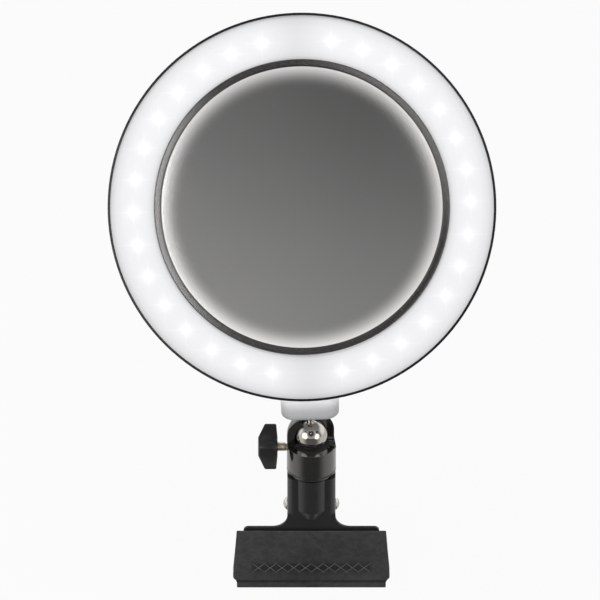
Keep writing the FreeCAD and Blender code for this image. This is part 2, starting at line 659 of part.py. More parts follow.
def make_ball_housing():
    base, centre = HOUSING_BASE_Z, BALL_CENTRE.z
    cup = disc(HOUSING_BORE_DIAMETER / 2, base + HOUSING_FLOOR, base + HOUSING_RIM_HEIGHT)
    throat = disc(HOOD_INNER_RADIUS, base + HOUSING_RIM_HEIGHT, centre)
    screw_hole = rod(LOCK_SCREW_RADIUS + RUNNING_CLEARANCE, Vector(-2 * HOUSING_R, 0, LOCK_Z), Vector(0, 0, LOCK_Z))
    slit = block(-2 * HOUSING_R, 0, -SLIT_WIDTH / 2, SLIT_WIDTH / 2, base + SLIT_FLOOR, LOCK_Z)
    base_bore = disc(BASE_SCREW_RADIUS, base, base + BASE_SCREW_DEPTH)
    pocket = liner_solid(HOOD_INNER_RADIUS - 1, BALL_R + 2 * BALL_CLEARANCE + LINER_THICKNESS)
    cavity = Part.makeSphere(HOOD_INNER_RADIUS, BALL_CENTRE).fuse([cup, throat])
    return housing_body().cut([cavity, screw_hole, slit, base_bore, pocket, hood_opening()]).removeSplitter()


def make_ball_liner():
    inner = BALL_R + BALL_CLEARANCE
    gate = rod(LINER_GATE_RADIUS, BALL_CENTRE, BALL_CENTRE + Y_AXIS * 2 * HOUSING_R)
    return liner_solid(inner, inner + LINER_THICKNESS).cut(gate)


def make_ball_seat():
    base = HOUSING_BASE_Z
    outer = HOUSING_BORE_DIAMETER / 2 - SEAT_CLEARANCE
    seat = disc(outer, base + HOUSING_FLOOR, base + SEAT_TOP)
    dish = Part.makeSphere(BALL_R + BALL_CLEARANCE, BALL_CENTRE)
    hole = disc(SEAT_HOLE_RADIUS, base, BALL_CENTRE.z)
    tunnel = rod(PAD_RADIUS + RUNNING_CLEARANCE * 2, Vector(-2 * HOUSING_R, 0, LOCK_Z), Vector(0, 0, LOCK_Z))
    return seat.cut([dish, hole, tunnel])


def make_pressure_pad():
    pad = rod(PAD_RADIUS, Vector(-LOCK_SCREW_TIP - PAD_CUP_DEPTH / 2, 0, LOCK_Z), Vector(-SEAT_HOLE_RADIUS, 0, LOCK_Z))
    cup = rod(PAD_CUP_RADIUS, Vector(-2 * HOUSING_R, 0, LOCK_Z), Vector(-LOCK_SCREW_TIP + PAD_CUP_DEPTH / 2, 0, LOCK_Z))
    return pad.cut(cup).cut(Part.makeSphere(BALL_R + BALL_CLEARANCE, BALL_CENTRE))


def make_lock_screw():
    tip = Vector(-LOCK_SCREW_TIP, 0, LOCK_Z)
    nose = rod(PAD_CUP_RADIUS - PART_GAP, tip - X_AXIS * PAD_CUP_DEPTH, tip + X_AXIS * PAD_CUP_DEPTH / 4)
    shank = rod(LOCK_SCREW_RADIUS, Vector(-KNOB_START - KNOB_SCREW_DEPTH, 0, LOCK_Z), tip - X_AXIS * PAD_CUP_DEPTH)
    return shank.fuse(nose)


def make_lock_knob():
    """A wing knob: a hub along the screw with two tapered wings."""
    start, end = -KNOB_START, -KNOB_START - KNOB_LENGTH
    half = KNOB_WING_SPAN / 2
    right = [Vector(start, 0, -KNOB_HUB_RADIUS), Vector(start - KNOB_WING_NEAR_SLOPE, 0, -half),
             Vector(end + KNOB_WING_FAR_SLOPE, 0, -half), Vector(end + KNOB_WING_SHOULDER, 0, -KNOB_HUB_RADIUS)]
    left = [Vector(p.x, 0, -p.z) for p in reversed(right)]
    outline = right + left
    wing = Part.Face(Part.makePolygon(outline + outline[:1])).extrude(Vector(0, KNOB_WING_THICKNESS, 0))
    wing.translate(Vector(0, -KNOB_WING_THICKNESS / 2, 0))
    wing = wing.makeFillet(KNOB_EDGE, wing.Edges)
    hub = Part.makeCone(KNOB_HUB_RADIUS, KNOB_HUB_RADIUS - KNOB_HUB_TAPER, KNOB_LENGTH, Vector(start, 0, 0), -X_AXIS)
    screw = rod(LOCK_SCREW_RADIUS, Vector(start - KNOB_SCREW_DEPTH, 0, 0), Vector(start + 1, 0, 0))
    knob = wing.fuse(hub).cut(screw)
    knob.rotate(Vector(), X_AXIS, -RING_LEAN)
    knob.translate(Vector(0, 0, LOCK_Z))
    return knob


def make_base_screw():
    top = SHELF_BOTTOM - BASE_WASHER_THICKNESS
    low = top - BASE_SCREW_HEAD_HEIGHT
    head = disc(BASE_SCREW_HEAD_RADIUS, low, top)
    shank = disc(BASE_SCREW_RADIUS, top, HOUSING_BASE_Z + BASE_SCREW_DEPTH)
    socket = disc(BASE_SOCKET_RADIUS, low - 1, low + BASE_SOCKET_DEPTH)
    return head.fuse(shank).cut(socket).removeSplitter()


def make_base_washer():
    return ring(BASE_SCREW_RADIUS, BASE_WASHER_RADIUS, SHELF_BOTTOM - BASE_WASHER_THICKNESS, SHELF_BOTTOM)


# ---- Spring clamp ----------------------------------------------------------------------------
def jaw_placement():
    """The front jaw's frame: X across, Y out of its face, Z up the blade, from the bend down."""
    return Placement(Vector(0, -WEB_Y, BEND_Z), Rotation(X_AXIS, JAW_LEAN))


def flat_outline(points, thickness, front):
    """A sheet in the jaw's frame from (across, down) points; front is its outer face."""
    outline = [Vector(x, front, -down) for x, down in points]
    return Part.Face(Part.makePolygon(outline + outline[:1])).extrude(Vector(0, thickness, 0))


def flipped(point):
    """The same point on the jaw's other side."""
    return Vector(-point.x, point.y, point.z)


def upright_edges(shape, y):
    """The upright edges of a shape that lie on one face across Y."""
    return [e for e in shape.Edges if all(abs(v.Y - y) < 1e-6 for v in e.Vertexes)
            and abs(e.Vertexes[0].Z - e.Vertexes[-1].Z) > 1]


def jaw_blade(half_neck, arm_top):
    """The T-shaped lower part of a plate, with round fillets and arm ends."""
    fillet, corner = ARM_FILLET, ARM_CORNER
    diagonal = math.sqrt(0.5)
    start = arm_top - fillet
    right = [Vector(half_neck, 0, 0), Vector(half_neck, 0, -start)]
    arc_mid = Vector(half_neck + fillet * (1 - diagonal), 0, -start - fillet * diagonal)
    arm_start = Vector(half_neck + fillet, 0, -arm_top)
    arm_end = Vector(ARM_HALF_WIDTH - corner, 0, -arm_top)
    corner_mid = Vector(ARM_HALF_WIDTH - corner * (1 - diagonal), 0, -arm_top - corner * (1 - diagonal))
    corner_end = Vector(ARM_HALF_WIDTH, 0, -arm_top - corner)
    foot = Vector(ARM_HALF_WIDTH, 0, -BLADE_LENGTH)
    edges = lines(right)
    edges.append(Part.Arc(right[-1], arc_mid, arm_start).toShape())
    edges += lines([arm_start, arm_end])
    edges.append(Part.Arc(arm_end, corner_mid, corner_end).toShape())
    edges += lines([corner_end, foot, flipped(foot), flipped(corner_end)])
    edges.append(Part.Arc(flipped(corner_end), flipped(corner_mid), flipped(arm_end)).toShape())
    edges += lines([flipped(arm_end), flipped(arm_start)])
    edges.append(Part.Arc(flipped(arm_start), flipped(arc_mid), flipped(right[-1])).toShape())
    edges += lines([flipped(right[-1]), flipped(right[0]), right[0]])
    return Part.Face(Part.Wire(edges)).extrude(Vector(0, SHEET, 0))


def in_jaw(shape, mirrored):
    """Moves a shape from the jaw's frame to the front jaw, or mirrors it to the rear one."""
    shape.Placement = jaw_placement().multiply(shape.Placement)
    return shape.mirror(Vector(), Y_AXIS) if mirrored else shape


def channel(half_width, corner, low, high, back):
    """An upright U-section with its web at the front."""
    outer = block(-half_width, half_width, -WEB_Y, back, low, high)
    inner = block(-half_width + SHEET, half_width - SHEET, -WEB_Y + SHEET, back + 1, low - 1, high + 1)
    outer = outer.makeFillet(corner, upright_edges(outer, -WEB_Y))
    inner = inner.makeFillet(corner - SHEET, upright_edges(inner, -WEB_Y + SHEET))
    return outer.cut(inner)


def pressed_rib(offset, top):
    """The half-round rib up the handle, which fades out at its lower end."""
    full = ((RIB_WIDTH / 2) ** 2 + RIB_HEIGHT ** 2) / (2 * RIB_HEIGHT)
    centre_y = -WEB_Y - RIB_HEIGHT + full
    radius = full - offset
    fade = Part.makeCone(radius - RIB_HEIGHT, radius, 2 * RIB_HEIGHT,
                         Vector(0, centre_y, RIB_BOTTOM_Z - 2 * RIB_HEIGHT))
    rib = Part.makeCylinder(radius, top - RIB_BOTTOM_Z, Vector(0, centre_y, RIB_BOTTOM_Z)).fuse(fade)
    reach = 2 * WEB_Y
    return rib.common(block(-reach, reach, -reach, -WEB_Y + SHEET, 0, HOUSING_BASE_Z))


def front_flange_outline():
    pin = Vector(0, 0, PIN_Z)
    shelf_end = Vector(0, SHELF_BACK_Y - 2, SHELF_BOTTOM)
    low_front = Vector(0, -2 * WEB_Y, PIN_Z - EAR_PLATE_RADIUS)
    back = tangent_point(shelf_end, pin, EAR_PLATE_RADIUS, -1)
    lowest = pin - Z_AXIS * EAR_PLATE_RADIUS
    between = pin + Vector(0, EAR_PLATE_RADIUS, -EAR_PLATE_RADIUS) * math.sqrt(0.5)
    front = Vector(0, -2 * WEB_Y, HOUSING_BASE_Z)
    edges = lines([lowest, low_front, front, Vector(0, shelf_end.y, HOUSING_BASE_Z), shelf_end, back])
    edges.append(Part.Arc(back, between, lowest).toShape())
    return edges


def pin_hole(clearance):
    far = X_AXIS * PIN_LENGTH
    return rod(PIN_RADIUS + clearance, Vector(0, 0, PIN_Z) - far, Vector(0, 0, PIN_Z) + far)


def make_front_plate():
    handle = channel(HANDLE_HALF, HANDLE_CORNER, PIN_Z - EAR_PLATE_RADIUS, SHELF_BOTTOM, SHELF_BACK_Y)
    handle = handle.common(side_plate(front_flange_outline(), HANDLE_WIDTH))
    shelf = block(-HANDLE_HALF, HANDLE_HALF, -WEB_Y, SHELF_BACK_Y, SHELF_BOTTOM, HOUSING_BASE_Z)
    upright = [e for e in shelf.Edges if abs(e.Vertexes[0].Z - e.Vertexes[1].Z) > 1]
    shelf = shelf.makeFillet(HANDLE_CORNER, upright)
    shelf = shelf.cut(disc(BASE_SCREW_RADIUS + PART_GAP, SHELF_BOTTOM - 1, HOUSING_BASE_Z + 1))
    below_bend = block(-HANDLE_WIDTH, HANDLE_WIDTH, -2 * WEB_Y, -WEB_Y + SHEET + HANDLE_CORNER,
                       0, BEND_Z)
    handle = handle.cut(below_bend)
    blade = in_jaw(jaw_blade(HANDLE_HALF, FRONT_ARM_TOP), False)
    plate = handle.fuse([shelf, pressed_rib(0, HOUSING_BASE_Z), blade])
    return plate.cut([pressed_rib(SHEET, SHELF_BOTTOM), pin_hole(RUNNING_CLEARANCE)]).removeSplitter()


def rear_outline():
    """Side outline of the rear plate's channel: ear, short web and flared handle."""
    pin = Vector(0, 0, PIN_Z)
    low = Vector(0, WEB_Y, PIN_Z - EAR_PLATE_RADIUS)
    bend = Vector(0, WEB_Y, BEND_Z)
    tip = bend + FLARE * REAR_HANDLE_LENGTH
    tip_in = tip + INWARD * REAR_FLANGE
    start_in = bend + FLARE * REAR_FLANGE_START + INWARD * REAR_FLANGE
    radius = EAR_PLATE_RADIUS - REAR_EAR_STEP
    top = tangent_point(start_in, pin, radius, 1)
    bottom = tangent_point(low, pin, radius, -1)
    edges = lines([bottom, low, bend, tip, tip_in, start_in, top])
    edges.append(Part.Arc(top, pin - Y_AXIS * radius, bottom).toShape())
    return edges


def rear_hollow():
    """Everything on the inner side of the rear plate's web."""
    low = Vector(0, WEB_Y - SHEET, 0)
    bend = Vector(0, WEB_Y - SHEET, BEND_Z + SHEET * math.tan(math.radians(REAR_HANDLE_FLARE) / 2))
    tip = bend + FLARE * 2 * REAR_HANDLE_LENGTH
    far = tip + INWARD * 2 * REAR_HANDLE_LENGTH
    corner = Vector(0, -4 * WEB_Y, 0)
    return side_plate(lines([low, bend, tip, far, corner, low]), REAR_HALF - SHEET)


def make_rear_plate():
    body = side_plate(rear_outline(), REAR_HALF).cut(rear_hollow())
    tip = Vector(0, WEB_Y, BEND_Z) + FLARE * REAR_HANDLE_LENGTH
    corners = []
    for side in (-1, 1):
        centre = tip - FLARE * REAR_HANDLE_CORNER + X_AXIS * side * (REAR_HALF - REAR_HANDLE_CORNER)
        along, across = FLARE * 2 * REAR_HANDLE_CORNER, X_AXIS * side * 2 * REAR_HANDLE_CORNER
        square = Part.Face(Part.makePolygon([centre, centre + along, centre + along + across, centre + across,
                                             centre]))
        square.translate(INWARD * -WEB_Y)
        prism = square.extrude(INWARD * 2 * WEB_Y)
        round_bar = rod(REAR_HANDLE_CORNER, centre - INWARD * WEB_Y, centre + INWARD * WEB_Y)
        corners.append(prism.cut(round_bar))
    blade = in_jaw(jaw_blade(REAR_HALF, REAR_ARM_TOP), True)
    return body.cut(corners).fuse(blade).cut(pin_hole(RUNNING_CLEARANCE)).removeSplitter()


def pad_panel(top):
    """The pad's front panel, with bevelled edges and clipped lower corners."""
    def outline(inset, front):
        half_top, half_low = PAD_TOP_HALF_WIDTH - inset, PAD_BOTTOM_HALF_WIDTH - inset
        corner = PAD_CORNER
        points = [(half_top, top + inset), (half_low, PAD_PANEL_END - corner - inset / 2),
                  (half_low - corner, PAD_PANEL_END - inset)]
        points += [(-x, down) for x, down in reversed(points)]
        loop = [Vector(x, front, -down) for x, down in points]
        return Part.makePolygon(loop + loop[:1])
    back = Part.Face(outline(0, -PAD_FRONT_THICKNESS + PAD_BEVEL)).extrude(
        Vector(0, PAD_FRONT_THICKNESS - PAD_BEVEL + SHEET + PAD_INNER_THICKNESS, 0))
    bevel = Part.makeLoft([outline(0, -PAD_FRONT_THICKNESS + PAD_BEVEL), outline(PAD_BEVEL, -PAD_FRONT_THICKNESS)],
                          True, True)
    return back.fuse(bevel)


def cross_bars():
    """The row of raised crosses on the panel."""
    bars = []
    length = math.hypot(CROSS_WIDTH, CROSS_HEIGHT)
    slope = math.degrees(math.atan2(CROSS_HEIGHT, CROSS_WIDTH))
    for k in range(CROSS_COUNT):
        x = (k - (CROSS_COUNT - 1) / 2) * CROSS_PITCH
        for side in (-1, 1):
            bar = block(-length / 2, length / 2, -PAD_FRONT_THICKNESS - CROSS_PROUD, -PAD_FRONT_THICKNESS + CROSS_ROOT,
                        -CROSS_BAR / 2, CROSS_BAR / 2)
            bar.rotate(Vector(), Y_AXIS, side * slope)
            bar.translate(Vector(x, 0, -CROSS_CENTRE))
            bars.append(bar)
    return bars


def make_pad(top, crosses, mirrored):
    panel = pad_panel(top)
    inner_face = SHEET + PAD_INNER_THICKNESS
    groove = PAD_GROOVE
    lip = block(-PAD_LIP_HALF_WIDTH, PAD_LIP_HALF_WIDTH, -PAD_FRONT_THICKNESS + LIP_SETBACK, inner_face,
                -PAD_LIP_END, -PAD_PANEL_END - groove)
    web = block(-PAD_LIP_HALF_WIDTH + PAD_WEB_INSET, PAD_LIP_HALF_WIDTH - PAD_WEB_INSET, -PAD_FRONT_THICKNESS + 2 * LIP_SETBACK,
                inner_face, -PAD_PANEL_END - groove, -PAD_PANEL_END + groove)
    pad = panel.fuse([lip, web] + (cross_bars() if crosses else []))
    slot = block(-ARM_HALF_WIDTH, ARM_HALF_WIDTH, 0, SHEET, -BLADE_LENGTH, 0)
    pad = in_jaw(pad.cut(slot), mirrored)
    reach = 3 * ARM_HALF_WIDTH
    keep = block(-reach, reach, PAD_MEETING_GAP, reach, -reach, reach) if mirrored else \
        block(-reach, reach, -reach, -PAD_MEETING_GAP, -reach, reach)
    return pad.common(keep).removeSplitter()


def make_hinge_pin():
    """A riveted pin: plain shank with a domed head at each end."""
    pin = Vector(0, 0, PIN_Z)
    shank = rod(PIN_RADIUS, pin - X_AXIS * HANDLE_HALF, pin + X_AXIS * HANDLE_HALF)
    proud = PIN_LENGTH / 2 - HANDLE_HALF - RUNNING_CLEARANCE
    dome_radius = (PIN_HEAD_RADIUS ** 2 + proud ** 2) / (2 * proud)
    heads = []
    for side in (-1, 1):
        seat = pin + X_AXIS * side * (HANDLE_HALF + RUNNING_CLEARANCE)
        dome = Part.makeSphere(dome_radius, seat - X_AXIS * side * (dome_radius - proud))
        heads.append(dome.common(rod(2 * PIN_HEAD_RADIUS, seat, seat + X_AXIS * side * 2 * proud)))
        heads.append(rod(PIN_RADIUS, pin, seat))
    return shank.fuse(heads).removeSplitter()


def make_pin_sleeve():
    half = REAR_HALF - SHEET - PART_GAP
    pin = Vector(0, 0, PIN_Z)
    outer = rod(SLEEVE_RADIUS, pin - X_AXIS * half, pin + X_AXIS * half)
    return outer.cut(rod(PIN_RADIUS + RUNNING_CLEARANCE, pin - X_AXIS * PIN_LENGTH, pin + X_AXIS * PIN_LENGTH))


def make_torsion_spring():
    """A coil round the pin with one leg on each plate's inner face."""
    pin = Vector(0, 0, PIN_Z)
    length = SPRING_TURNS * SPRING_PITCH
    radius = SPRING_RADIUS
    front_face, leg = -WEB_Y + SHEET + SPRING_WIRE / 2, SPRING_LEG
    helix = Part.makeHelix(SPRING_PITCH, length, radius)
    wire_section = Part.Wire(Part.Circle(Vector(radius, 0, 0), Y_AXIS, SPRING_WIRE / 2).toShape())
    coil = Part.Wire(helix).makePipeShell([wire_section], True, True)
    coil.rotate(Vector(), Y_AXIS, 90)
    coil.rotate(Vector(), X_AXIS, 180)
    coil.translate(pin - X_AXIS * length / 2)
    legs = []
    for side, x in ((-1, -length / 2), (1, length / 2)):
        root = pin + Vector(x, side * radius, 0)
        if side < 0:
            end = Vector(x, front_face + SPRING_SLACK, PIN_Z + leg)
        else:
            start = Vector(x, WEB_Y, BEND_Z)
            end = start + FLARE * leg + INWARD * (SHEET + SPRING_WIRE / 2 + SPRING_SLACK)
        legs.append(rod(SPRING_WIRE / 2, root, end))
        legs.append(Part.makeSphere(SPRING_WIRE / 2, root))
    return coil.fuse(legs).removeSplitter()


# ---- All nodes -------------------------------------------------------------------------------
def ring_nodes():
    power, brighter, dimmer = BUTTON_ANGLES
    shell = make_rear_shell()
    return {
        "rear_shell": shell,
        "hinge_ears": make_hinge_ears(shell),
        "outer_trim": make_outer_trim(),
        "diffuser": make_diffuser(),
        "mirror_bezel": make_mirror_bezel(),
        "mirror": make_mirror(),
        "mirror_backing": make_mirror_backing(),
        "mirror_back_cover": make_mirror_back_cover(),
        "led_board": make_led_board(),
        "leds": make_leds(),
        "reflector_sheet": make_reflector_sheet(),
        "control_board": make_control_board(),
        "foam_pad": make_foam_pad(),
        "usb_socket": make_usb_socket(),
        "tact_switches": make_tact_switches(),
        "power_button": make_button(power),
        "brighter_button": make_button(brighter),
        "dimmer_button": make_button(dimmer),
        "case_screws": make_case_screws(),
        "hinge_screw": make_hinge_screw(),
        "hinge_nut": make_hinge_nut(),
        "friction_washers": make_friction_washers(),
    }


def neck_nodes():
    return {
        "neck": make_neck(),
        "threaded_insert": make_threaded_insert(),
        "ball_stud": make_ball_stud(),
    }


def stand_nodes():
    return {
        "ball_liner": make_ball_liner(),
        "ball_seat": make_ball_seat(),
        "ball_housing": make_ball_housing(),
        "pressure_pad": make_pressure_pad(),
        "lock_screw": make_lock_screw(),
        "lock_knob": make_lock_knob(),
        "base_screw": make_base_screw(),
        "base_washer": make_base_washer(),
        "front_plate": make_front_plate(),
        "rear_plate": make_rear_plate(),
        "hinge_pin": make_hinge_pin(),
        "pin_sleeve": make_pin_sleeve(),
        "torsion_spring": make_torsion_spring(),
        "front_pad": make_pad(FRONT_PAD_TOP, True, False),
        "rear_pad": make_pad(REAR_PAD_TOP, True, True),
    }


def main():
    os.makedirs("parts", exist_ok=True)
    head = neck_nodes()
    for name, shape in ring_nodes().items():
        shape.Placement = ring_placement().multiply(shape.Placement)
        head[name] = shape
    for shape in head.values():
        shape.rotate(BALL_CENTRE, Y_AXIS, -HEAD_LEAN)
    nodes = {**head, **stand_nodes()}
    for name, shape in nodes.items():
        if not shape.isValid():
            print("not valid:", name)
        print(f"{name:20s} solids {len(shape.Solids):3d}  volume {shape.Volume / 1000:9.3f} cm3")
        shape.exportStep(f"parts/{name}.step")


main()
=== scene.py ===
"""Dresses a clamp-on ring light: finishes for its solids, finer pieces where they show, and a plain studio."""

import json
import math
from contextlib import contextmanager

import bmesh
import bpy
from bpy.props import FloatProperty, FloatVectorProperty, IntProperty, PointerProperty
from mathutils import Matrix, Vector

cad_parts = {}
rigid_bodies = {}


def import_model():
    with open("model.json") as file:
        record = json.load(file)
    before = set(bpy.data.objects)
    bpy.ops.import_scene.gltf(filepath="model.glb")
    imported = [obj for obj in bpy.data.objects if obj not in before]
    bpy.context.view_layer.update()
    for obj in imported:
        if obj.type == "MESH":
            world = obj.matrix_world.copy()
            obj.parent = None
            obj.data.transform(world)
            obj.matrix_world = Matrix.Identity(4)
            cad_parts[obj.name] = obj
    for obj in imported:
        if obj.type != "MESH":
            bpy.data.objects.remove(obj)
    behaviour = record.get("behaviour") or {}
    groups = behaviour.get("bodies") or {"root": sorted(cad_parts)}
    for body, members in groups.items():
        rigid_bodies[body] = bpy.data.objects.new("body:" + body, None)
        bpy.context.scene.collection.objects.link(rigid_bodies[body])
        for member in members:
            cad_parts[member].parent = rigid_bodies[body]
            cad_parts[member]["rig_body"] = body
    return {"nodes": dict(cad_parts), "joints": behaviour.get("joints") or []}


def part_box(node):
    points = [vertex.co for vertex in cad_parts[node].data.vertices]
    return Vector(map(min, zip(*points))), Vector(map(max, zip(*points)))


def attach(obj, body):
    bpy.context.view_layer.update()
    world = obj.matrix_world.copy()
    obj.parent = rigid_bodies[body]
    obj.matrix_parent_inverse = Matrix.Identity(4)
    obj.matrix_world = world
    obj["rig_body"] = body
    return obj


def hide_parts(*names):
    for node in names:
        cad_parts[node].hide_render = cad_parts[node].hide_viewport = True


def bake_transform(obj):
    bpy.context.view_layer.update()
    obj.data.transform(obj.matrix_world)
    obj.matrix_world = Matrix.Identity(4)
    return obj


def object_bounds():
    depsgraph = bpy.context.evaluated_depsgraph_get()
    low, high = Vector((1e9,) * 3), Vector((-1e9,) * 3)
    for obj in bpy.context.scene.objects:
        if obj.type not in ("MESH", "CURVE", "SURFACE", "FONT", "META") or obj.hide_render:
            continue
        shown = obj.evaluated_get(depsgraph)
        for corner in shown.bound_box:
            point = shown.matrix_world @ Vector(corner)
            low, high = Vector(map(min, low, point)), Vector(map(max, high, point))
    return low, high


bl_info = {
    "name": "Clamp-on ring light",
    "version": (1, 0, 0),
    "blender": (4, 5, 0),
    "location": "View3D > Sidebar > Ring light",
    "description": "Finishes, finer pieces and a plain studio for a ring light on a ball head and a spring clamp",
    "category": "Object",
}

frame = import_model()
CAD_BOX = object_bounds()
bpy.ops.object.select_all(action="DESELECT")

MM = 0.001
X_AXIS, Y_AXIS = Vector((1, 0, 0)), Vector((0, 1, 0))
JOINTS = {joint["name"]: joint for joint in frame["joints"]}


# ---- Places that follow from the frame ---------------------------------------------------------
def middle(node):
    """The middle of a node's box."""
    low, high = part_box(node)
    return (low + high) / 2


def frame_at(origin, across, forward, up):
    """The matrix of a frame whose three directions are given in the model's own."""
    matrix = Matrix((across, forward, up)).transposed().to_4x4()
    matrix.translation = origin
    return matrix


# The ring head's own frame: X across, Y to the ring's top, Z out of its lit face, from the trim's front.
TRIM_DEPTH = 3.0 * MM
RING_X = -Vector(JOINTS["ring_tilt"]["axis"])
RING_Z = Vector(JOINTS["power_press"]["axis"])
RING_Y = RING_Z.cross(RING_X)
RING = frame_at(middle("outer_trim") + RING_Z * TRIM_DEPTH / 2, RING_X, RING_Y, RING_Z)

# The ball and its stem, with Z along the stem.
BALL = Vector(JOINTS["ball_lean"]["pos_m"])
STEM_Z = Vector(JOINTS["neck_turn"]["axis"])
STEM = frame_at(BALL, RING_X, STEM_Z.cross(RING_X), STEM_Z)

# The lock screw, with Z out along it, away from the housing.
KNOB_AXIS = Vector(JOINTS["knob_turn"]["axis"])
LOCK = frame_at(Vector(JOINTS["knob_turn"]["pos_m"]), Y_AXIS, KNOB_AXIS.cross(Y_AXIS), KNOB_AXIS)

# The front jaw: X across, Y into the jaw from the plate's outer face, Z up the blade from its bend.
BEND = Vector((0, -10.0 * MM, 49.6 * MM))
JAW_LEAN = math.radians(9.0)
FRONT_JAW = Matrix.Translation(BEND) @ Matrix.Rotation(JAW_LEAN, 4, "X")
REAR_JAW = Matrix.Scale(-1, 4, Y_AXIS) @ FRONT_JAW

# On the jaws' pads, in millimetres from the bend: how far out the panel stands and how far down its crosses are.
PANEL_FRONT = -1.5
CROSSES_DOWN = 36.7


# ---- Shader maths ------------------------------------------------------------------------------
class Wire:
    """An output of a shader node that can be used in arithmetic."""

    def __init__(self, sheet, socket):
        self.sheet, self.socket = sheet, socket

    def math(self, operation, *values):
        return self.sheet.math(operation, self, *values)

    def __add__(self, other):
        return self.math("ADD", other)

    __radd__ = __add__

    def __sub__(self, other):
        return self.math("SUBTRACT", other)

    def __rsub__(self, other):
        return self.sheet.math("SUBTRACT", other, self)

    def __mul__(self, other):
        return self.math("MULTIPLY", other)

    __rmul__ = __mul__

    def __truediv__(self, other):
        return self.math("DIVIDE", other)

    def __pow__(self, other):
        return self.math("POWER", other)

    def __neg__(self):
        return self * -1

    def __abs__(self):
        return self.math("ABSOLUTE")

    def at_least(self, other):
        return self.math("MAXIMUM", other)

    def at_most(self, other):
        return self.math("MINIMUM", other)

    def bell(self, width):
        """1 where the value is zero, falling off over a width."""
        return (-((self / width) ** 2)).math("EXPONENT")

    def ramp(self, low, high, start=0.0, end=1.0):
        """A smooth step from start to end as the value goes from low to high."""
        return self.sheet.node("ShaderNodeMapRange", {"interpolation_type": "SMOOTHSTEP"},
                               {"Value": self, "From Min": low, "From Max": high, "To Min": start, "To Max": end})


class Sheet:
    """A node tree that is filled in by calls."""

    def __init__(self, tree):
        self.tree = tree
        tree.nodes.clear()

    def node(self, kind, settings=None, sockets=None, output=0):
        """Adds a node with its settings, then its sockets' values or links, and gives one of its outputs."""
        made = self.tree.nodes.new(kind)
        for key, value in (settings or {}).items():
            if key == "stops":
                self.set_stops(made.color_ramp, value)
            else:
                setattr(made, key, value)
        for key, value in (sockets or {}).items():
            if isinstance(value, Wire):
                self.tree.links.new(value.socket, made.inputs[key])
            else:
                made.inputs[key].default_value = value
        return Wire(self, made.outputs[output]) if made.outputs else made

    @staticmethod
    def set_stops(ramp, stops):
        while len(ramp.elements) < len(stops):
            ramp.elements.new(1.0)
        for element, (place, level) in zip(ramp.elements, stops):
            element.position = place
            element.color = (level, level, level, 1)

    def math(self, operation, *values):
        return self.node("ShaderNodeMath", {"operation": operation}, dict(enumerate(values)))

    def blend(self, amount, first, second):
        """A colour between two colours."""
        return self.node("ShaderNodeMix", {"data_type": "RGBA"}, {0: amount, 6: first, 7: second}, output=2)

    def place(self, matrix=None):
        """Object coordinates in metres, in the model's frame or in the frame of a matrix."""
        points = self.node("ShaderNodeTexCoord", output="Object")
        if matrix is None:
            return points
        return self.node("ShaderNodeMapping", {"vector_type": "TEXTURE"},
                         {"Vector": points, "Location": matrix.translation, "Rotation": matrix.to_euler()})

    def parts(self, vector):
        """The three numbers of a vector, in millimetres."""
        return [self.node("ShaderNodeSeparateXYZ", None, {"Vector": vector}, output=axis) / MM for axis in "XYZ"]

    def noise(self, size, detail=3.0, roughness=0.5):
        """Noise from 0 to 1 whose features are about a given size in metres."""
        return self.node("ShaderNodeTexNoise", None,
                         {"Vector": self.place(), "Scale": 1 / size, "Detail": detail,
                          "Roughness": roughness})

    def rounded(self, radius):
        """The normal as if sharp edges were rounded to a radius."""
        return self.node("ShaderNodeBevel", {"samples": 4}, {"Radius": radius})

    def bump(self, height, distance, normal=None):
        sockets = {"Height": height, "Distance": distance, "Strength": 1.0}
        if normal:
            sockets["Normal"] = normal
        return self.node("ShaderNodeBump", None, sockets)


def from_axis(x, y):
    """The distance of a point from the origin."""
    return (x * x + y * y) ** 0.5


def rgba(colour, factor=1.0):
    """A colour made darker or lighter, with its alpha."""
    return (*[min(1.0, level * factor) for level in colour[:3]], 1)


def new_material(name):
    """A material and the empty sheet of its nodes."""
    material = bpy.data.materials.new(name)
    material.use_nodes = True
    return material, Sheet(material.node_tree)


def new_finish(name, build, *values):
    """Makes a material: build gets its sheet and returns the shader's sockets."""
    material, sheet = new_material(name)
    shader = sheet.node("ShaderNodeBsdfPrincipled", None, build(sheet, *values))
    sheet.node("ShaderNodeOutputMaterial", None, {"Surface": shader})
    return material


# ---- Finishes ----------------------------------------------------------------------------------
MOULD_GRAIN = 0.008 * MM


def moulded(sheet, colour, roughness, edge, grain):
    """Moulded plastic: a fine spark-eroded grain, faint flow marks and softened edges."""
    flow = sheet.noise(22 * MM, 2.0)
    fine = sheet.noise(grain, 2.0)
    return {
        "Base Color": sheet.blend(flow, rgba(colour, 0.93), rgba(colour, 1.04)),
        "Roughness": flow * 0.08 + (roughness - 0.04),
        "Normal": sheet.bump(fine, MOULD_GRAIN, sheet.rounded(edge)),
    }


def lacquered(sheet, colour, roughness, edge):
    """Deep black lacquer or anodising under a clear coat."""
    sockets = gloss_black(sheet, colour, roughness, edge)
    sockets.update({"Specular IOR Level": 1.0, "Coat Weight": 1.0, "Coat Roughness": 0.06, "Coat IOR": 1.6})
    return sockets


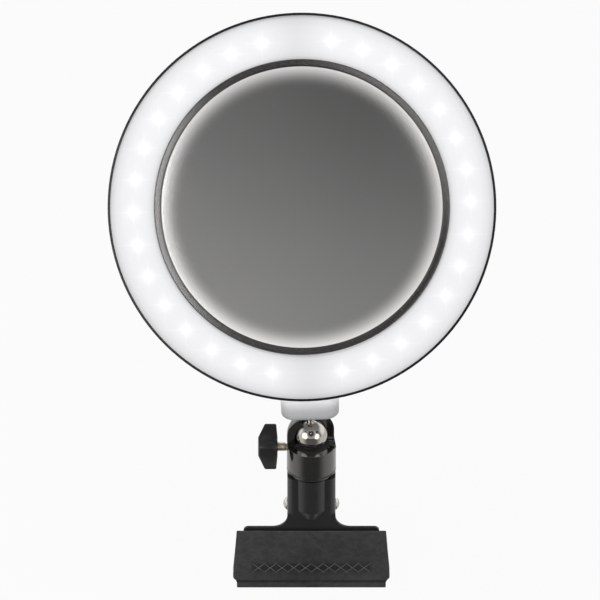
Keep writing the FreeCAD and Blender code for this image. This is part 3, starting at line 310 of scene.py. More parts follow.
def crowned(sheet, colour, roughness):
    """Moulded plastic with crowned faces and softly rounded edges, with painted light: a faint glow that brightens the
    top and fades downward.
    """
    sockets = moulded(sheet, colour, roughness, 0.4 * MM, 0.25 * MM)
    z = sheet.parts(sheet.place(STEM))[2]
    low = (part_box("neck")[0] - BALL).z / MM
    up = (z - (low + 6.5)).at_least(-9.0).at_most(7.0)
    crown = sheet.bump(up * up * -0.05, 1.0 * MM, sheet.rounded(2.5 * MM))
    sockets["Normal"] = sheet.bump(sheet.noise(0.4 * MM, 2.0), MOULD_GRAIN, crown)
    # Painted light: an emission that makes the neck's top brighter and fades towards the bottom.
    painted_top_light = (z - low).ramp(5.0, 15.0, 0.0, 0.4)
    sockets["Emission Color"] = sheet.node("ShaderNodeCombineXYZ", None, {"X": painted_top_light, "Y": painted_top_light, "Z": painted_top_light})
    sockets["Emission Strength"] = 1.0
    return sockets


def gloss_black(sheet, colour, roughness, edge):
    """A gloss black moulding or coating with a very faint waviness."""
    wave = sheet.noise(9 * MM, 1.0)
    smear = sheet.noise(30 * MM, 3.0)
    return {
        "Base Color": sheet.blend(smear, rgba(colour), rgba(colour, 1.5)),
        "Roughness": smear * 0.08 + roughness,
        "Normal": sheet.bump(wave, 0.03 * MM, sheet.rounded(edge)),
    }


def painted_steel(sheet, colour, roughness, edge):
    """Black paint over pressed steel: orange peel, a faint cloudy tone and softened edges."""
    peel = sheet.noise(1.1 * MM, 2.0)
    cloud = sheet.noise(16 * MM, 3.0)
    return {
        "Base Color": sheet.blend(cloud, rgba(colour), rgba(colour, 1.45)),
        "Roughness": cloud * 0.12 + roughness,
        "Coat Weight": 0.35,
        "Coat Roughness": 0.12,
        "Normal": sheet.bump(peel, 0.035 * MM, sheet.rounded(edge)),
    }


def bare_metal(sheet, colour, roughness, edge, scratch):
    """Bare or plated metal with fine turning marks."""
    mark = sheet.noise(scratch, 4.0, 0.7)
    cloud = sheet.noise(12 * MM, 2.0)
    return {
        "Base Color": sheet.blend(cloud, rgba(colour, 0.86), rgba(colour)),
        "Metallic": 1.0,
        "Roughness": mark * 0.12 + roughness,
        "Normal": sheet.bump(mark, 0.008 * MM, sheet.rounded(edge)),
    }


def polished_chrome(sheet, colour):
    """Polished chrome with the faintest handling haze."""
    haze = sheet.noise(7 * MM, 3.0)
    return {
        "Base Color": sheet.blend(haze, rgba(colour, 0.92), rgba(colour)),
        "Metallic": 1.0,
        "Roughness": haze.ramp(0.45, 0.8, 0.035, 0.09),
    }


def opal_diffuser(sheet, sizes):
    """Opal plastic lit from behind by two rows of LEDs with a gap at the top and the bottom, with painted star-shaped
    glints through each LED.
    """
    x, y, _ = sheet.parts(sheet.place(RING))
    radius = from_axis(x, y)
    circle, pitch, first = sizes.led_circle / MM, sizes.led_pitch, sizes.led_first
    angle = abs(x).math("ARCTAN2", y)
    step = ((angle - first) / pitch).math("ROUND").at_least(0).at_most(sizes.leds_per_side - 1)
    near = step * pitch + first
    along = abs((angle - near) * circle)
    spot_width = 3.3
    spot = along.bell(spot_width) * (radius - circle).bell(spot_width)
    gap = 1 - x.bell(12.0) * 0.13
    band_inner, band_width = 77.4, 22.9
    share = (radius - band_inner) / band_width
    glow = sheet.node("ShaderNodeValToRGB", {"stops": (
        (0.0, 0.62), (0.08, 0.80), (0.2, 0.88), (0.36, 0.90), (0.52, 0.905), (0.72, 0.88), (0.88, 0.80),
        (1.0, 0.64))}, {0: share})
    # Painted glints: thin horizontal and vertical streaks of light through each LED, added to the emission.
    aside = abs(x) - near.math("SINE") * circle
    above = y - near.math("COSINE") * circle
    ray = 0.45
    painted_star_glint = aside.bell(ray) * above.bell(8.0) + above.bell(ray) * aside.bell(9.0)
    level = (glow * gap - sizes.opal_grey + spot * 0.15 + painted_star_glint * 0.05).at_most(1.03 - sizes.opal_grey)
    wash = sheet.noise(30 * MM, 1.0)
    grey = [sizes.opal_grey] * 3
    tint = sheet.node("ShaderNodeCombineXYZ", None, {"X": level * 0.975, "Y": level * 0.98, "Z": level})
    return {
        "Base Color": sheet.blend(wash, rgba(grey), rgba(grey, 1.05)),
        "Roughness": 0.42,
        "Emission Color": tint,
        "Emission Strength": 1.0,
        "Normal": sheet.bump(sheet.noise(0.6 * MM, 1.0), 0.01 * MM),
    }


def silvered_mirror(sheet, colour):
    """A silvered mirror with painted light: its rim glows, as if it picked up the light around it."""
    x, y, _ = sheet.parts(sheet.place(RING))
    radius = from_axis(x, y)
    rim_start, rim_end = 61.0, 75.5
    # Painted light: an emission that grows towards the mirror's edge.
    rim = radius.ramp(rim_start, rim_end)
    glow = rim * rim * 0.62
    film = sheet.noise(35 * MM, 2.0)
    return {
        "Base Color": sheet.blend(film, rgba(colour, 0.96), rgba(colour)),
        "Metallic": 1.0,
        "Roughness": film * 0.02 + 0.015,
        "Emission Color": sheet.node("ShaderNodeCombineXYZ", None, {"X": glow, "Y": glow * 0.985, "Z": glow * 0.97}),
        "Emission Strength": 1.0,
    }


def circuit_board(sheet, colour, copper):
    """Solder mask over fine copper tracks, in bands round the ring, with bare pads."""
    x, y, _ = sheet.parts(sheet.place(RING))
    radius = from_axis(x, y)
    track = (radius * 2.2).math("SINE").ramp(0.55, 0.75)
    breaks = sheet.noise(8 * MM, 1.0).ramp(0.4, 0.45)
    relief = track * breaks
    return {
        "Base Color": sheet.blend(relief * 0.5, rgba(colour), rgba(copper)),
        "Roughness": 0.35,
        "Normal": sheet.bump(relief, 0.03 * MM),
    }


def led_package(sheet, colour):
    """A white LED package with its yellow phosphor."""
    grain = sheet.noise(0.5 * MM, 2.0)
    return {
        "Base Color": sheet.blend(grain, rgba(colour, 0.85), rgba(colour)),
        "Roughness": grain * 0.2 + 0.2,
        "Emission Color": rgba(colour),
        "Emission Strength": 0.6,
    }


def soft_rubber(sheet, colour):
    """Matt grey rubber, mottled with pale bloom, with a fine grain, with painted highlights on the raised crosses and
    painted shade on the panel between them.
    """
    x, y, z = sheet.parts(sheet.place(FRONT_JAW))
    row_height, row_end, fade_start = 3.6, 33.0, 30.0
    row = (z + CROSSES_DOWN).bell(row_height) * abs(x).ramp(row_end, fade_start)
    # Painted highlight: the tops of the raised crosses are made paler.
    painted_cross_highlight = y.ramp(-1.55, -1.85) * row
    # Painted shade: the panel face round the crosses is made darker.
    ground = row * y.ramp(-1.3, -1.45) * y.ramp(-1.85, -1.55) * 0.8
    bloom = sheet.noise(3.2 * MM, 5.0, 0.65)
    cloud = sheet.noise(18 * MM, 3.0)
    grain = sheet.noise(0.35 * MM, 2.0)
    mix = (bloom * 0.65 + cloud * 0.35).ramp(0.35, 0.65)
    plain = sheet.blend(mix, rgba(colour, 0.72), rgba(colour, 1.25))
    plain_with_painted_shade = sheet.blend(ground, plain, rgba(colour, 0.25))
    return {
        "Base Color": sheet.blend(painted_cross_highlight * 0.9, plain_with_painted_shade, rgba(colour, 3.0)),
        "Roughness": bloom * 0.15 + 0.62,
        "Normal": sheet.bump(grain * 0.6 + bloom * 0.4, 0.05 * MM, sheet.rounded(0.25 * MM)),
    }


def open_foam(sheet, colour):
    """Foam with open cells."""
    cells = sheet.node("ShaderNodeTexVoronoi", None, {"Vector": sheet.place(), "Scale": 1 / (0.6 * MM)})
    return {
        "Base Color": sheet.blend(cells, rgba(colour), rgba(colour, 0.6)),
        "Roughness": 0.95,
        "Normal": sheet.bump(cells, 0.1 * MM),
    }


# ---- Sizes and colours -------------------------------------------------------------------------
def length(name, description, default):
    return FloatProperty(name=name, description=description, default=default, unit="LENGTH", precision=5)


def colour(name, description, default):
    return FloatVectorProperty(name=name, description=description, default=default, subtype="COLOR", min=0, max=1)


class RingFaceSizes(bpy.types.PropertyGroup):
    """The lit ring and the mirror inside it."""

    led_circle: length("LED circle radius", "Distance of each LED from the ring's centre", 88.1 * MM)
    led_first: FloatProperty(name="First LED", description="Angle of the first LED from the top", subtype="ANGLE",
                             default=math.radians(11.8))
    led_pitch: FloatProperty(name="LED pitch", description="Angle between neighbouring LEDs", subtype="ANGLE",
                             default=math.radians(11.17))
    leds_per_side: IntProperty(name="LEDs a side", description="LEDs on each half of the ring", default=15, min=1)
    opal_grey: FloatProperty(name="Opal grey", description="How pale the unlit diffuser is", default=0.3, min=0,
                             max=1, subtype="FACTOR")
    silver: colour("Silver", "Colour of the mirror's silver", (0.9, 0.91, 0.91))


class StandSizes(bpy.types.PropertyGroup):
    """The ball head and the clamp."""

    ball: length("Ball radius", "Radius of the ball", 8.45 * MM)
    stem: length("Stem radius", "Radius of the ball's stem", 2.4 * MM)
    stud: length("Stud radius", "Radius of the threaded stud", 3.12 * MM)
    screw: length("Lock screw radius", "Radius over the lock screw's thread", 2.5 * MM)
    screw_pitch: length("Lock screw pitch", "Distance between the lock screw's threads", 0.8 * MM)
    wing_span: length("Wing span", "Distance across the knob's wings", 23.9 * MM)
    wing_thickness: length("Wing thickness", "Thickness of the knob's wings", 5.2 * MM)
    hub: length("Hub radius", "Radius of the knob's hub", 5.0 * MM)
    crosses: IntProperty(name="Crosses", description="Raised crosses on the front pad", default=10, min=0)
    cross_pitch: length("Cross pitch", "Distance between neighbouring crosses", 6.2 * MM)
    rubber: colour("Rubber", "Colour of the jaw pads", (0.058, 0.056, 0.056))
    paint: colour("Paint", "Colour of the pressed plates", (0.021, 0.021, 0.022))
    chrome: colour("Chrome", "Colour of the ball and its stem", (0.70, 0.675, 0.63))


class StudioSizes(bpy.types.PropertyGroup):
    """The floor, the lights and the camera."""

    floor_colour: colour("Floor", "Colour of the floor", (0.32, 0.32, 0.32))
    key_power: FloatProperty(name="Key light", description="Power of the large light above", default=11.0,
                             unit="POWER")
    side_power: FloatProperty(name="Side lights", description="Power of each light at the side", default=2.5,
                              unit="POWER")
    back_power: FloatProperty(name="Back light", description="Power of the light behind", default=3.5, unit="POWER")
    sky: FloatProperty(name="Sky", description="Light from all round", default=0.32, min=0)
    room: FloatProperty(name="Room", description="How bright the room in front looks in gloss", default=0.12, min=0)
    camera_distance: length("Camera distance", "Distance from the camera to the middle of the object", 8.0)
    view_width: length("View width", "Width of the view at the middle of the object", 315.5 * MM)


# ---- Modelling helpers -------------------------------------------------------------------------
def only(piece):
    """Makes a piece the active one and the only one selected."""
    bpy.ops.object.select_all(action="DESELECT")
    bpy.context.view_layer.objects.active = piece
    piece.select_set(True)


@contextmanager
def editing(piece):
    """Edit mode on one piece."""
    only(piece)
    bpy.ops.object.mode_set(mode="EDIT")
    yield
    bpy.ops.object.mode_set(mode="OBJECT")


def pick(piece, kind, test):
    """In edit mode, selects only the verts, edges or faces that pass a test."""
    bpy.ops.mesh.select_mode(type={"verts": "VERT", "edges": "EDGE", "faces": "FACE"}[kind])
    bpy.ops.mesh.select_all(action="DESELECT")
    mesh = bmesh.from_edit_mesh(piece.data)
    for element in getattr(mesh, kind):
        if test(element):
            element.select_set(True)
    mesh.select_flush_mode()
    bmesh.update_edit_mesh(piece.data)


def edge_middle(edge):
    return (edge.verts[0].co + edge.verts[1].co) / 2


def added(name):
    """The primitive that was just added, named, with its place in its mesh."""
    piece = bpy.context.object
    piece.name = name
    piece.data.name = name
    bpy.ops.object.transform_apply(location=True, rotation=True, scale=True)
    return piece


def put(piece, matrix):
    """Moves a piece's mesh into the model's frame."""
    only(piece)
    piece.matrix_world = matrix
    bpy.ops.object.transform_apply(location=True, rotation=True, scale=True)
    if matrix.determinant() < 0:
        outwards(piece)
    return piece


def outwards(piece):
    """Turns all faces outwards."""
    with editing(piece):
        bpy.ops.mesh.select_all(action="SELECT")
        bpy.ops.mesh.normals_make_consistent(inside=False)


def modified(piece, kind, **settings):
    """Adds a modifier and applies it."""
    only(piece)
    modifier = piece.modifiers.new(kind.title(), kind)
    for key, value in settings.items():
        setattr(modifier, key, value)
    bpy.ops.object.modifier_apply(modifier=modifier.name)


def joined(pieces):
    """One piece made of several, named after the first."""
    bpy.ops.object.select_all(action="DESELECT")
    for piece in pieces:
        piece.select_set(True)
    bpy.context.view_layer.objects.active = pieces[0]
    bpy.ops.object.join()
    return pieces[0]


def smooth(piece, degrees):
    """Smooth shading, with edges sharper than an angle kept."""
    only(piece)
    bpy.ops.object.shade_smooth_by_angle(angle=math.radians(degrees))


def extrude_rings(outline, radius, height):
    """In edit mode, grows the selected circle through (radius, height) points."""
    for next_radius, next_height in outline:
        bpy.ops.mesh.extrude_region_move(TRANSFORM_OT_translate={"value": (0, 0, next_height - height)})
        factor = next_radius / radius
        bpy.ops.transform.resize(value=(factor, factor, 1), center_override=(0, 0, next_height))
        radius, height = next_radius, next_height


def turned(name, outline, sides):
    """A closed turned shape about Z: a disc that is extruded and scaled ring by ring, then capped."""
    radius, height = outline[0]
    bpy.ops.mesh.primitive_circle_add(vertices=sides, radius=radius, fill_type="NOTHING", location=(0, 0, height))
    piece = added(name)
    with editing(piece):
        bpy.ops.mesh.select_mode(type="EDGE")
        bpy.ops.mesh.select_all(action="SELECT")
        bpy.ops.mesh.edge_face_add()
        pick(piece, "edges", lambda e: True)
        extrude_rings(outline[1:], radius, height)
        bpy.ops.mesh.edge_face_add()
    outwards(piece)
    return piece


def dress(piece, node, finish):
    """Gives a new piece its finish and the body of the node it stands for, and hides that node."""
    piece.data.materials.clear()
    piece.data.materials.append(finish)
    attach(piece, frame["nodes"][node]["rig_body"])
    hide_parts(node)


def coat(node, finish):
    """Gives a node of the frame a finish."""
    solid = frame["nodes"][node]
    if not solid.material_slots:
        solid.data.materials.append(finish)
    for place in solid.material_slots:
        place.material = finish


# ---- Operators ---------------------------------------------------------------------------------
class RINGLIGHT_OT_studio(bpy.types.Operator):
    """Add a pale floor, soft lights, a card for the mirror and the bezel, and the camera"""

    bl_idname = "ringlight.studio"
    bl_label = "Studio"
    bl_options = {"REGISTER", "UNDO"}

    def execute(self, context):
        sizes = context.scene.ring_light_studio
        self.add_floor(sizes, CAD_BOX[0].z)
        self.add_card()
        self.add_sky(context.scene, sizes)
        self.add_lamp("key_light", (-0.15, -0.1, 1.3), 1.0, sizes.key_power).visible_glossy = False
        self.add_lamp("left_light", (-0.78, -0.62, 0.33), 0.85, sizes.side_power)
        self.add_lamp("right_light", (0.68, -0.78, 0.36), 0.75, sizes.side_power * 0.8)
        self.add_lamp("back_light", (0.25, 1.1, 0.12), 0.9, sizes.back_power)
        self.add_camera(context.scene, sizes)
        context.scene.view_settings.view_transform = "Standard"
        return {"FINISHED"}

    def add_floor(self, sizes, height):
        bpy.ops.mesh.primitive_plane_add(size=24, location=(0, 0, height))
        floor = added("floor")
        material, sheet = new_material("pale floor")
        matt = sheet.node("ShaderNodeBsdfDiffuse", None, {"Color": rgba(sizes.floor_colour)})
        white = sheet.node("ShaderNodeEmission", None, {"Color": (1, 1, 1, 1), "Strength": 1.0})
        x, y, _ = sheet.parts(sheet.place())
        turn = abs(x).math("ARCTAN2", -y)
        beside = sheet.node("ShaderNodeEmission", None,
                            {"Color": (1, 0.99, 0.96, 1), "Strength": turn.ramp(0.45, 1.25, 0.11, 0.62)})
        seen = sheet.node("ShaderNodeLightPath", output="Is Camera Ray") * 0.95
        mirrored = sheet.node("ShaderNodeLightPath", output="Is Glossy Ray")
        lit = sheet.node("ShaderNodeMixShader", None, {0: mirrored, 1: matt, 2: beside})
        shader = sheet.node("ShaderNodeMixShader", None, {0: seen, 1: lit, 2: white})
        sheet.node("ShaderNodeOutputMaterial", None, {"Surface": shader})
        floor.data.materials.append(material)

    def add_card(self):
        """A card in front of the lit face that only reflections show.

        From the studio's camera the mirror shows its soft grey middle, and the bezel shows the glare round that.
        From elsewhere the mirror can show the glare too. Places on the card are in millimetres.
        """
        distance, size = 0.9, 1.3
        centre_height = 5.2
        middle_edge, glare_edge, surround_edge = (85.0, 86.0), (94.0, 102.0), (150.0, 600.0)
        bpy.ops.mesh.primitive_plane_add(size=size)
        card = put(added("soft_card"), RING @ Matrix.Translation((0, 0, distance)))
        material, sheet = new_material("soft card")
        x, y, _ = sheet.parts(sheet.place(RING))
        x, y = x - distance / MM * RING_Z.x, y - centre_height
        radius = from_axis(x, y)
        grey = y.ramp(-90.0, 95.0, 0.25, 0.11) + x.ramp(-110.0, 90.0, 0.05, -0.03)
        right, top = x / radius, y / radius
        left_glare = (right * -1.0 - top * 0.05).ramp(0.5, 1.0) * 13.0
        right_glare = (right * 0.8 + top * 0.6).ramp(0.6, 1.0) * 4.6
        glare = (left_glare + right_glare) * radius.ramp(*glare_edge, 1.0, 0.0)
        surround = radius.ramp(*surround_edge, 0.0, 0.5)
        outside = radius.ramp(*middle_edge)
        level = (1 - outside) * grey + outside * (glare + surround)
        light = sheet.node("ShaderNodeEmission", None, {"Color": (1, 0.985, 0.97, 1), "Strength": level})
        clear = sheet.node("ShaderNodeBsdfTransparent")
        seen = sheet.node("ShaderNodeLightPath", output="Is Glossy Ray")
        shader = sheet.node("ShaderNodeMixShader", None, {0: seen, 1: clear, 2: light})
        sheet.node("ShaderNodeOutputMaterial", None, {"Surface": shader})
        card.data.materials.append(material)

    def add_sky(self, scene, sizes):
        world = bpy.data.worlds.new("soft studio")
        world.use_nodes = True
        scene.world = world
        sheet = Sheet(world.node_tree)
        way = sheet.node("ShaderNodeTexCoord", output="Generated")
        behind = sheet.node("ShaderNodeSeparateXYZ", None, {"Vector": way}, output=1)
        overhead = sheet.node("ShaderNodeSeparateXYZ", None, {"Vector": way}, output=2)
        level = behind.ramp(-0.5, 0.15, sizes.room, 1.0) * overhead.ramp(0.35, 0.8, 1.0, 0.2)
        room = sheet.node("ShaderNodeBackground", None, {"Color": (1, 1, 1, 1), "Strength": level})
        plain = sheet.node("ShaderNodeBackground", None, {"Color": (1, 1, 1, 1), "Strength": sizes.sky})
        white = sheet.node("ShaderNodeBackground", None, {"Color": (1, 1, 1, 1), "Strength": 1.0})
        seen = sheet.node("ShaderNodeLightPath", output="Is Camera Ray")
        mirrored = sheet.node("ShaderNodeLightPath", output="Is Glossy Ray")
        through = sheet.node("ShaderNodeLightPath", output="Is Transmission Ray")
        lit = sheet.node("ShaderNodeMixShader", None, {0: mirrored, 1: plain, 2: room})
        shader = sheet.node("ShaderNodeMixShader", None, {0: (seen + through).at_most(1.0), 1: lit, 2: white})
        sheet.node("ShaderNodeOutputWorld", None, {"Surface": shader})

    def add_lamp(self, name, place, size, power):
        bpy.ops.object.light_add(type="AREA", location=place)
        lamp = bpy.context.object
        lamp.name = name
        lamp.data.shape = "DISK"
        lamp.data.size = size
        lamp.data.energy = power
        lamp.rotation_euler = (Vector(place) - middle("neck")).to_track_quat("Z", "Y").to_euler()
        return lamp

    def add_camera(self, scene, sizes):
        lean = math.radians(35)
        up = Vector((0, math.sin(lean), math.cos(lean)))
        look = Vector((0, math.cos(lean), -math.sin(lean)))
        left, above, beyond = 6.0, 70.7, 4.7
        aim = BALL - X_AXIS * left * MM + up * above * MM + look * beyond * MM
        bpy.ops.object.camera_add(location=aim - look * sizes.camera_distance)
        camera = bpy.context.object
        camera.name = "camera"
        camera.rotation_euler = (-look).to_track_quat("Z", "Y").to_euler()
        camera.data.sensor_width = sensor = 36
        camera.data.lens = sensor * sizes.camera_distance / sizes.view_width
        camera.data.clip_start = 0.1
        camera.data.clip_end = 60
        scene.camera = camera


class RINGLIGHT_OT_solids(bpy.types.Operator):
    """Give every solid of the frame its finish"""

    bl_idname = "ringlight.solids"
    bl_label = "Finish the solids"
    bl_options = {"REGISTER", "UNDO"}

    def execute(self, context):
        face, stand = context.scene.ring_light_face, context.scene.ring_light_stand
        zinc = new_finish("zinc plate", bare_metal, (0.62, 0.62, 0.63), 0.22, 0.15 * MM, 0.3 * MM)
        paint = new_finish("black paint", painted_steel, stand.paint, 0.3, 0.25 * MM)
        white = new_finish("white moulding", moulded, (0.86, 0.865, 0.875), 0.3, 0.4 * MM, 0.25 * MM)
        black = new_finish("black moulding", moulded, (0.025, 0.025, 0.026), 0.4, 0.3 * MM, 0.3 * MM)
        nylon = new_finish("black nylon", moulded, (0.05, 0.05, 0.05), 0.5, 0.1 * MM, 0.4 * MM)
        green = new_finish("green board", circuit_board, (0.02, 0.12, 0.05), (0.10, 0.35, 0.14))
        finishes = {
            white: ("rear_shell", "hinge_ears", "mirror_back_cover", "power_button", "brighter_button",
                    "dimmer_button"),
            new_finish("white neck", crowned, (0.86, 0.865, 0.88), 0.3): ("neck",),
            new_finish("gloss trim", gloss_black, (0.012, 0.012, 0.014), 0.12, 0.3 * MM): ("outer_trim",),
            new_finish("black bezel", lacquered, (0.022, 0.02, 0.02), 0.16, 0.5 * MM): ("mirror_bezel",),
            new_finish("opal", opal_diffuser, face): ("diffuser",),
            new_finish("silvered glass", silvered_mirror, face.silver): ("mirror",),
            new_finish("backing foam", open_foam, (0.5, 0.48, 0.45)): ("mirror_backing",),
            new_finish("white board", circuit_board, (0.85, 0.85, 0.82), (0.95, 0.93, 0.85)): ("led_board",),
            new_finish("LED", led_package, (1.0, 0.93, 0.62)): ("leds",),
            new_finish("reflector film", moulded, (0.93, 0.93, 0.93), 0.35, 0.1 * MM, 0.5 * MM):
                ("reflector_sheet",),
            green: ("control_board",),
            new_finish("foam tape", open_foam, (0.12, 0.12, 0.13)): ("foam_pad",),
            zinc: ("usb_socket", "case_screws", "hinge_screw", "hinge_nut", "base_screw", "base_washer"),
            black: ("tact_switches",),
            nylon: ("friction_washers", "ball_seat", "ball_liner", "pressure_pad", "pin_sleeve"),
            new_finish("brass", bare_metal, (0.78, 0.6, 0.28), 0.2, 0.1 * MM, 0.3 * MM): ("threaded_insert",),
            new_finish("gloss anodising", lacquered, (0.010, 0.010, 0.009), 0.14, 0.45 * MM): ("ball_housing",),
            paint: ("front_plate", "rear_plate"),
            new_finish("nickel plate", bare_metal, (0.82, 0.81, 0.79), 0.16, 0.3 * MM, 0.4 * MM): ("hinge_pin",),
        }
        for finish, nodes in finishes.items():
            for node in nodes:
                coat(node, finish)
        return {"FINISHED"}


class RINGLIGHT_OT_ball(bpy.types.Operator):
    """Add the chrome ball with its stem and threaded stud"""

    bl_idname = "ringlight.ball"
    bl_label = "Ball and stem"
    bl_options = {"REGISTER", "UNDO"}

    def execute(self, context):
        sizes = context.scene.ring_light_stand
        ball, stem, stud = sizes.ball, sizes.stem, sizes.stud
        waist, cut_height = 0.86 * stem, 0.966 * ball
        stem_top, stem_edge = 15.6 * MM, 0.15 * MM
        stud_length, stud_edge = 9.0 * MM, 0.6 * MM
        bpy.ops.mesh.primitive_uv_sphere_add(segments=96, ring_count=64, radius=ball)
        piece = added("chrome_ball")
        with editing(piece):
            pick(piece, "faces", lambda f: f.calc_center_median().z > cut_height)
            bpy.ops.mesh.delete(type="FACE")
            pick(piece, "edges", lambda e: e.is_boundary)
            rim = bmesh.from_edit_mesh(piece.data)
            low = next(v.co.copy() for v in rim.verts if v.select)
            start = math.hypot(low.x, low.y)
            outline = [(waist + 0.12 * MM, ball - 0.26 * MM), (waist, ball + 0.05 * MM), (waist, ball + 0.75 * MM),
                       (waist + 0.1 * MM, ball + 1.0 * MM), (stem - 0.1 * MM, ball + 1.6 * MM),
                       (stem, ball + 1.8 * MM), (stem, stem_top), (stem - stem_edge, stem_top + stem_edge)]
            extrude_rings(outline, start, low.z)
            base = stem_top + 0.5 * MM
            outline = [(stem - stem_edge, base), (stud, base), (stud, base + stud_length - stud_edge),
                       (stud - stud_edge, base + stud_length)]
            extrude_rings(outline, stem - stem_edge, stem_top + stem_edge)
            bpy.ops.mesh.edge_face_add()
        smooth(put(piece, STEM), 40)
        dress(piece, "ball_stud", new_finish("polished chrome", polished_chrome, sizes.chrome))
        return {"FINISHED"}


class RINGLIGHT_OT_lock_screw(bpy.types.Operator):
    """Add the lock screw with its real thread"""

    bl_idname = "ringlight.lock_screw"
    bl_label = "Lock screw"
    bl_options = {"REGISTER", "UNDO"}

    def execute(self, context):
        sizes = context.scene.ring_light_stand
        low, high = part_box("lock_screw")
        radius, pitch = sizes.screw, sizes.screw_pitch
        start = min((corner - LOCK.translation).dot(KNOB_AXIS) for corner in (low, high))
        end = max((corner - LOCK.translation).dot(KNOB_AXIS) for corner in (low, high))
        turns = int((end - start - 1.8 * MM) / pitch)
        root = radius - 0.61 * pitch
        nose_radius, nose_edge = 1.6 * MM, 0.25 * MM
        base = end - turns * pitch - 0.2 * MM
        bpy.ops.mesh.primitive_plane_add(size=pitch, location=(root, 0, base + pitch / 2), rotation=(math.pi / 2, 0, 0))
        thread = added("lock_screw_steel")
        with editing(thread):
            pick(thread, "edges", lambda e: edge_middle(e).x < root - pitch / 4)
            bpy.ops.mesh.delete(type="EDGE")
            pick(thread, "edges", lambda e: abs(edge_middle(e).x - root) < pitch / 8)
            bpy.ops.mesh.delete(type="EDGE")
            pick(thread, "edges", lambda e: True)
            bpy.ops.transform.translate(value=(-pitch / 2, 0, 0))
            bpy.ops.mesh.subdivide(number_cuts=3)
            pick(thread, "verts", lambda v: abs(v.co.z - base - pitch / 2) < pitch * 0.3)
            bpy.ops.transform.translate(value=(radius - root, 0, 0))
            pick(thread, "verts", lambda v: pitch * 0.1 < abs(v.co.z - base - pitch / 2) < pitch * 0.3)
            bpy.ops.transform.translate(value=(-0.36 * (radius - root), 0, 0))
        modified(thread, "SCREW", axis="Z", angle=math.tau, screw_offset=pitch, iterations=turns, steps=40,
                 render_steps=40, use_merge_vertices=True, merge_threshold=1e-6, use_smooth_shade=True)
        with editing(thread):
            bpy.ops.mesh.select_all(action="SELECT")
            bpy.ops.mesh.remove_doubles(threshold=1e-6)
            pick(thread, "edges", lambda e: e.is_boundary)
            bpy.ops.mesh.edge_face_add()
        outwards(thread)
        nose = turned("screw_nose", [(nose_radius - nose_edge, start), (nose_radius, start + nose_edge),
                                     (nose_radius, start + 1.0 * MM), (root, start + 1.3 * MM),
                                     (root, base + pitch)], 40)
        piece = joined([thread, nose])
        smooth(put(piece, LOCK), 50)
        dress(piece, "lock_screw",
              new_finish("screw steel", bare_metal, (0.95, 0.9, 0.78), 0.3, 0.15 * MM, 0.25 * MM))
        return {"FINISHED"}


class RINGLIGHT_OT_knob(bpy.types.Operator):
    """Add the wing knob"""

    bl_idname = "ringlight.knob"
    bl_label = "Wing knob"
    bl_options = {"REGISTER", "UNDO"}

    def execute(self, context):
        sizes = context.scene.ring_light_stand
        low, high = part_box("lock_knob")
        near = (high - LOCK.translation).dot(KNOB_AXIS)
        far = (low - LOCK.translation).dot(KNOB_AXIS)
        near, far = min(near, far), max(near, far)
        half, thick, hub = sizes.wing_span / 2, sizes.wing_thickness, sizes.hub
        far_slope, near_slope, tip_taper = 3.5 * MM, 0.7 * MM, 0.72
        bpy.ops.mesh.primitive_cube_add(size=1, location=(0, 0, (near + far) / 2),
                                        scale=(thick, 2 * half, far - near))
        wings = added("wing_knob")

        def at_tip(vert):
            return abs(vert.co.y) > half * 0.95

        with editing(wings):
            for place in (-0.2, 0.0, 0.2):
                bpy.ops.mesh.select_all(action="SELECT")
                bpy.ops.mesh.bisect(plane_co=(0, place * 2 * half, 0), plane_no=(0, 1, 0))
            pick(wings, "verts", lambda v: at_tip(v) and v.co.z > (near + far) / 2)
            bpy.ops.transform.translate(value=(0, 0, -far_slope))
            pick(wings, "verts", lambda v: at_tip(v) and v.co.z < near + 1 * MM)
            bpy.ops.transform.translate(value=(0, 0, near_slope))
            pick(wings, "verts", at_tip)
            bpy.ops.transform.resize(value=(tip_taper, 1, 1), center_override=(0, 0, 0))
        modified(wings, "BEVEL", width=0.7 * MM, segments=4, limit_method="ANGLE", angle_limit=math.radians(40))
        mound = turned("knob_hub", [(hub - 0.6 * MM, near), (hub, near + 0.6 * MM), (hub, near + 1.6 * MM),
                                    (hub - 0.9 * MM, near + 2.2 * MM), (hub - 1.2 * MM, far - 1.0 * MM),
                                    (hub - 1.6 * MM, far - 0.3 * MM), (hub - 2.2 * MM, far),
                                    (hub - 2.8 * MM, far)], 64)
        piece = joined([wings, mound])
        smooth(put(piece, LOCK @ Matrix.Rotation(self.wing_angle(), 4, "Z")), 50)
        dress(piece, "lock_knob",
              new_finish("knob moulding", moulded, (0.026, 0.026, 0.026), 0.22, 0.3 * MM, 0.4 * MM))
        return {"FINISHED"}

    @staticmethod
    def wing_angle():
        """The turn about the screw that lays the wings across the ring's own Y."""
        wing = LOCK.to_3x3().inverted() @ RING_Y
        return math.atan2(-wing.x, wing.y)


class RINGLIGHT_OT_spring(bpy.types.Operator):
    """Add the clamp's spring as a smoothed copy of its solid"""

    bl_idname = "ringlight.spring"
    bl_label = "Clamp spring"
    bl_options = {"REGISTER", "UNDO"}

    def execute(self, context):
        solid = frame["nodes"]["torsion_spring"]
        piece = bpy.data.objects.new("wound_spring", solid.data.copy())
        context.scene.collection.objects.link(piece)
        with editing(piece):
            bpy.ops.mesh.select_all(action="SELECT")
            bpy.ops.mesh.remove_doubles(threshold=1e-6)
        smooth(piece, 40)
        piece.data.materials.clear()
        piece.data.materials.append(new_finish("spring wire", bare_metal, (0.42, 0.42, 0.43), 0.25, 0.15 * MM,
                                               0.3 * MM))
        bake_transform(piece)
        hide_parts("torsion_spring")
        return {"FINISHED"}


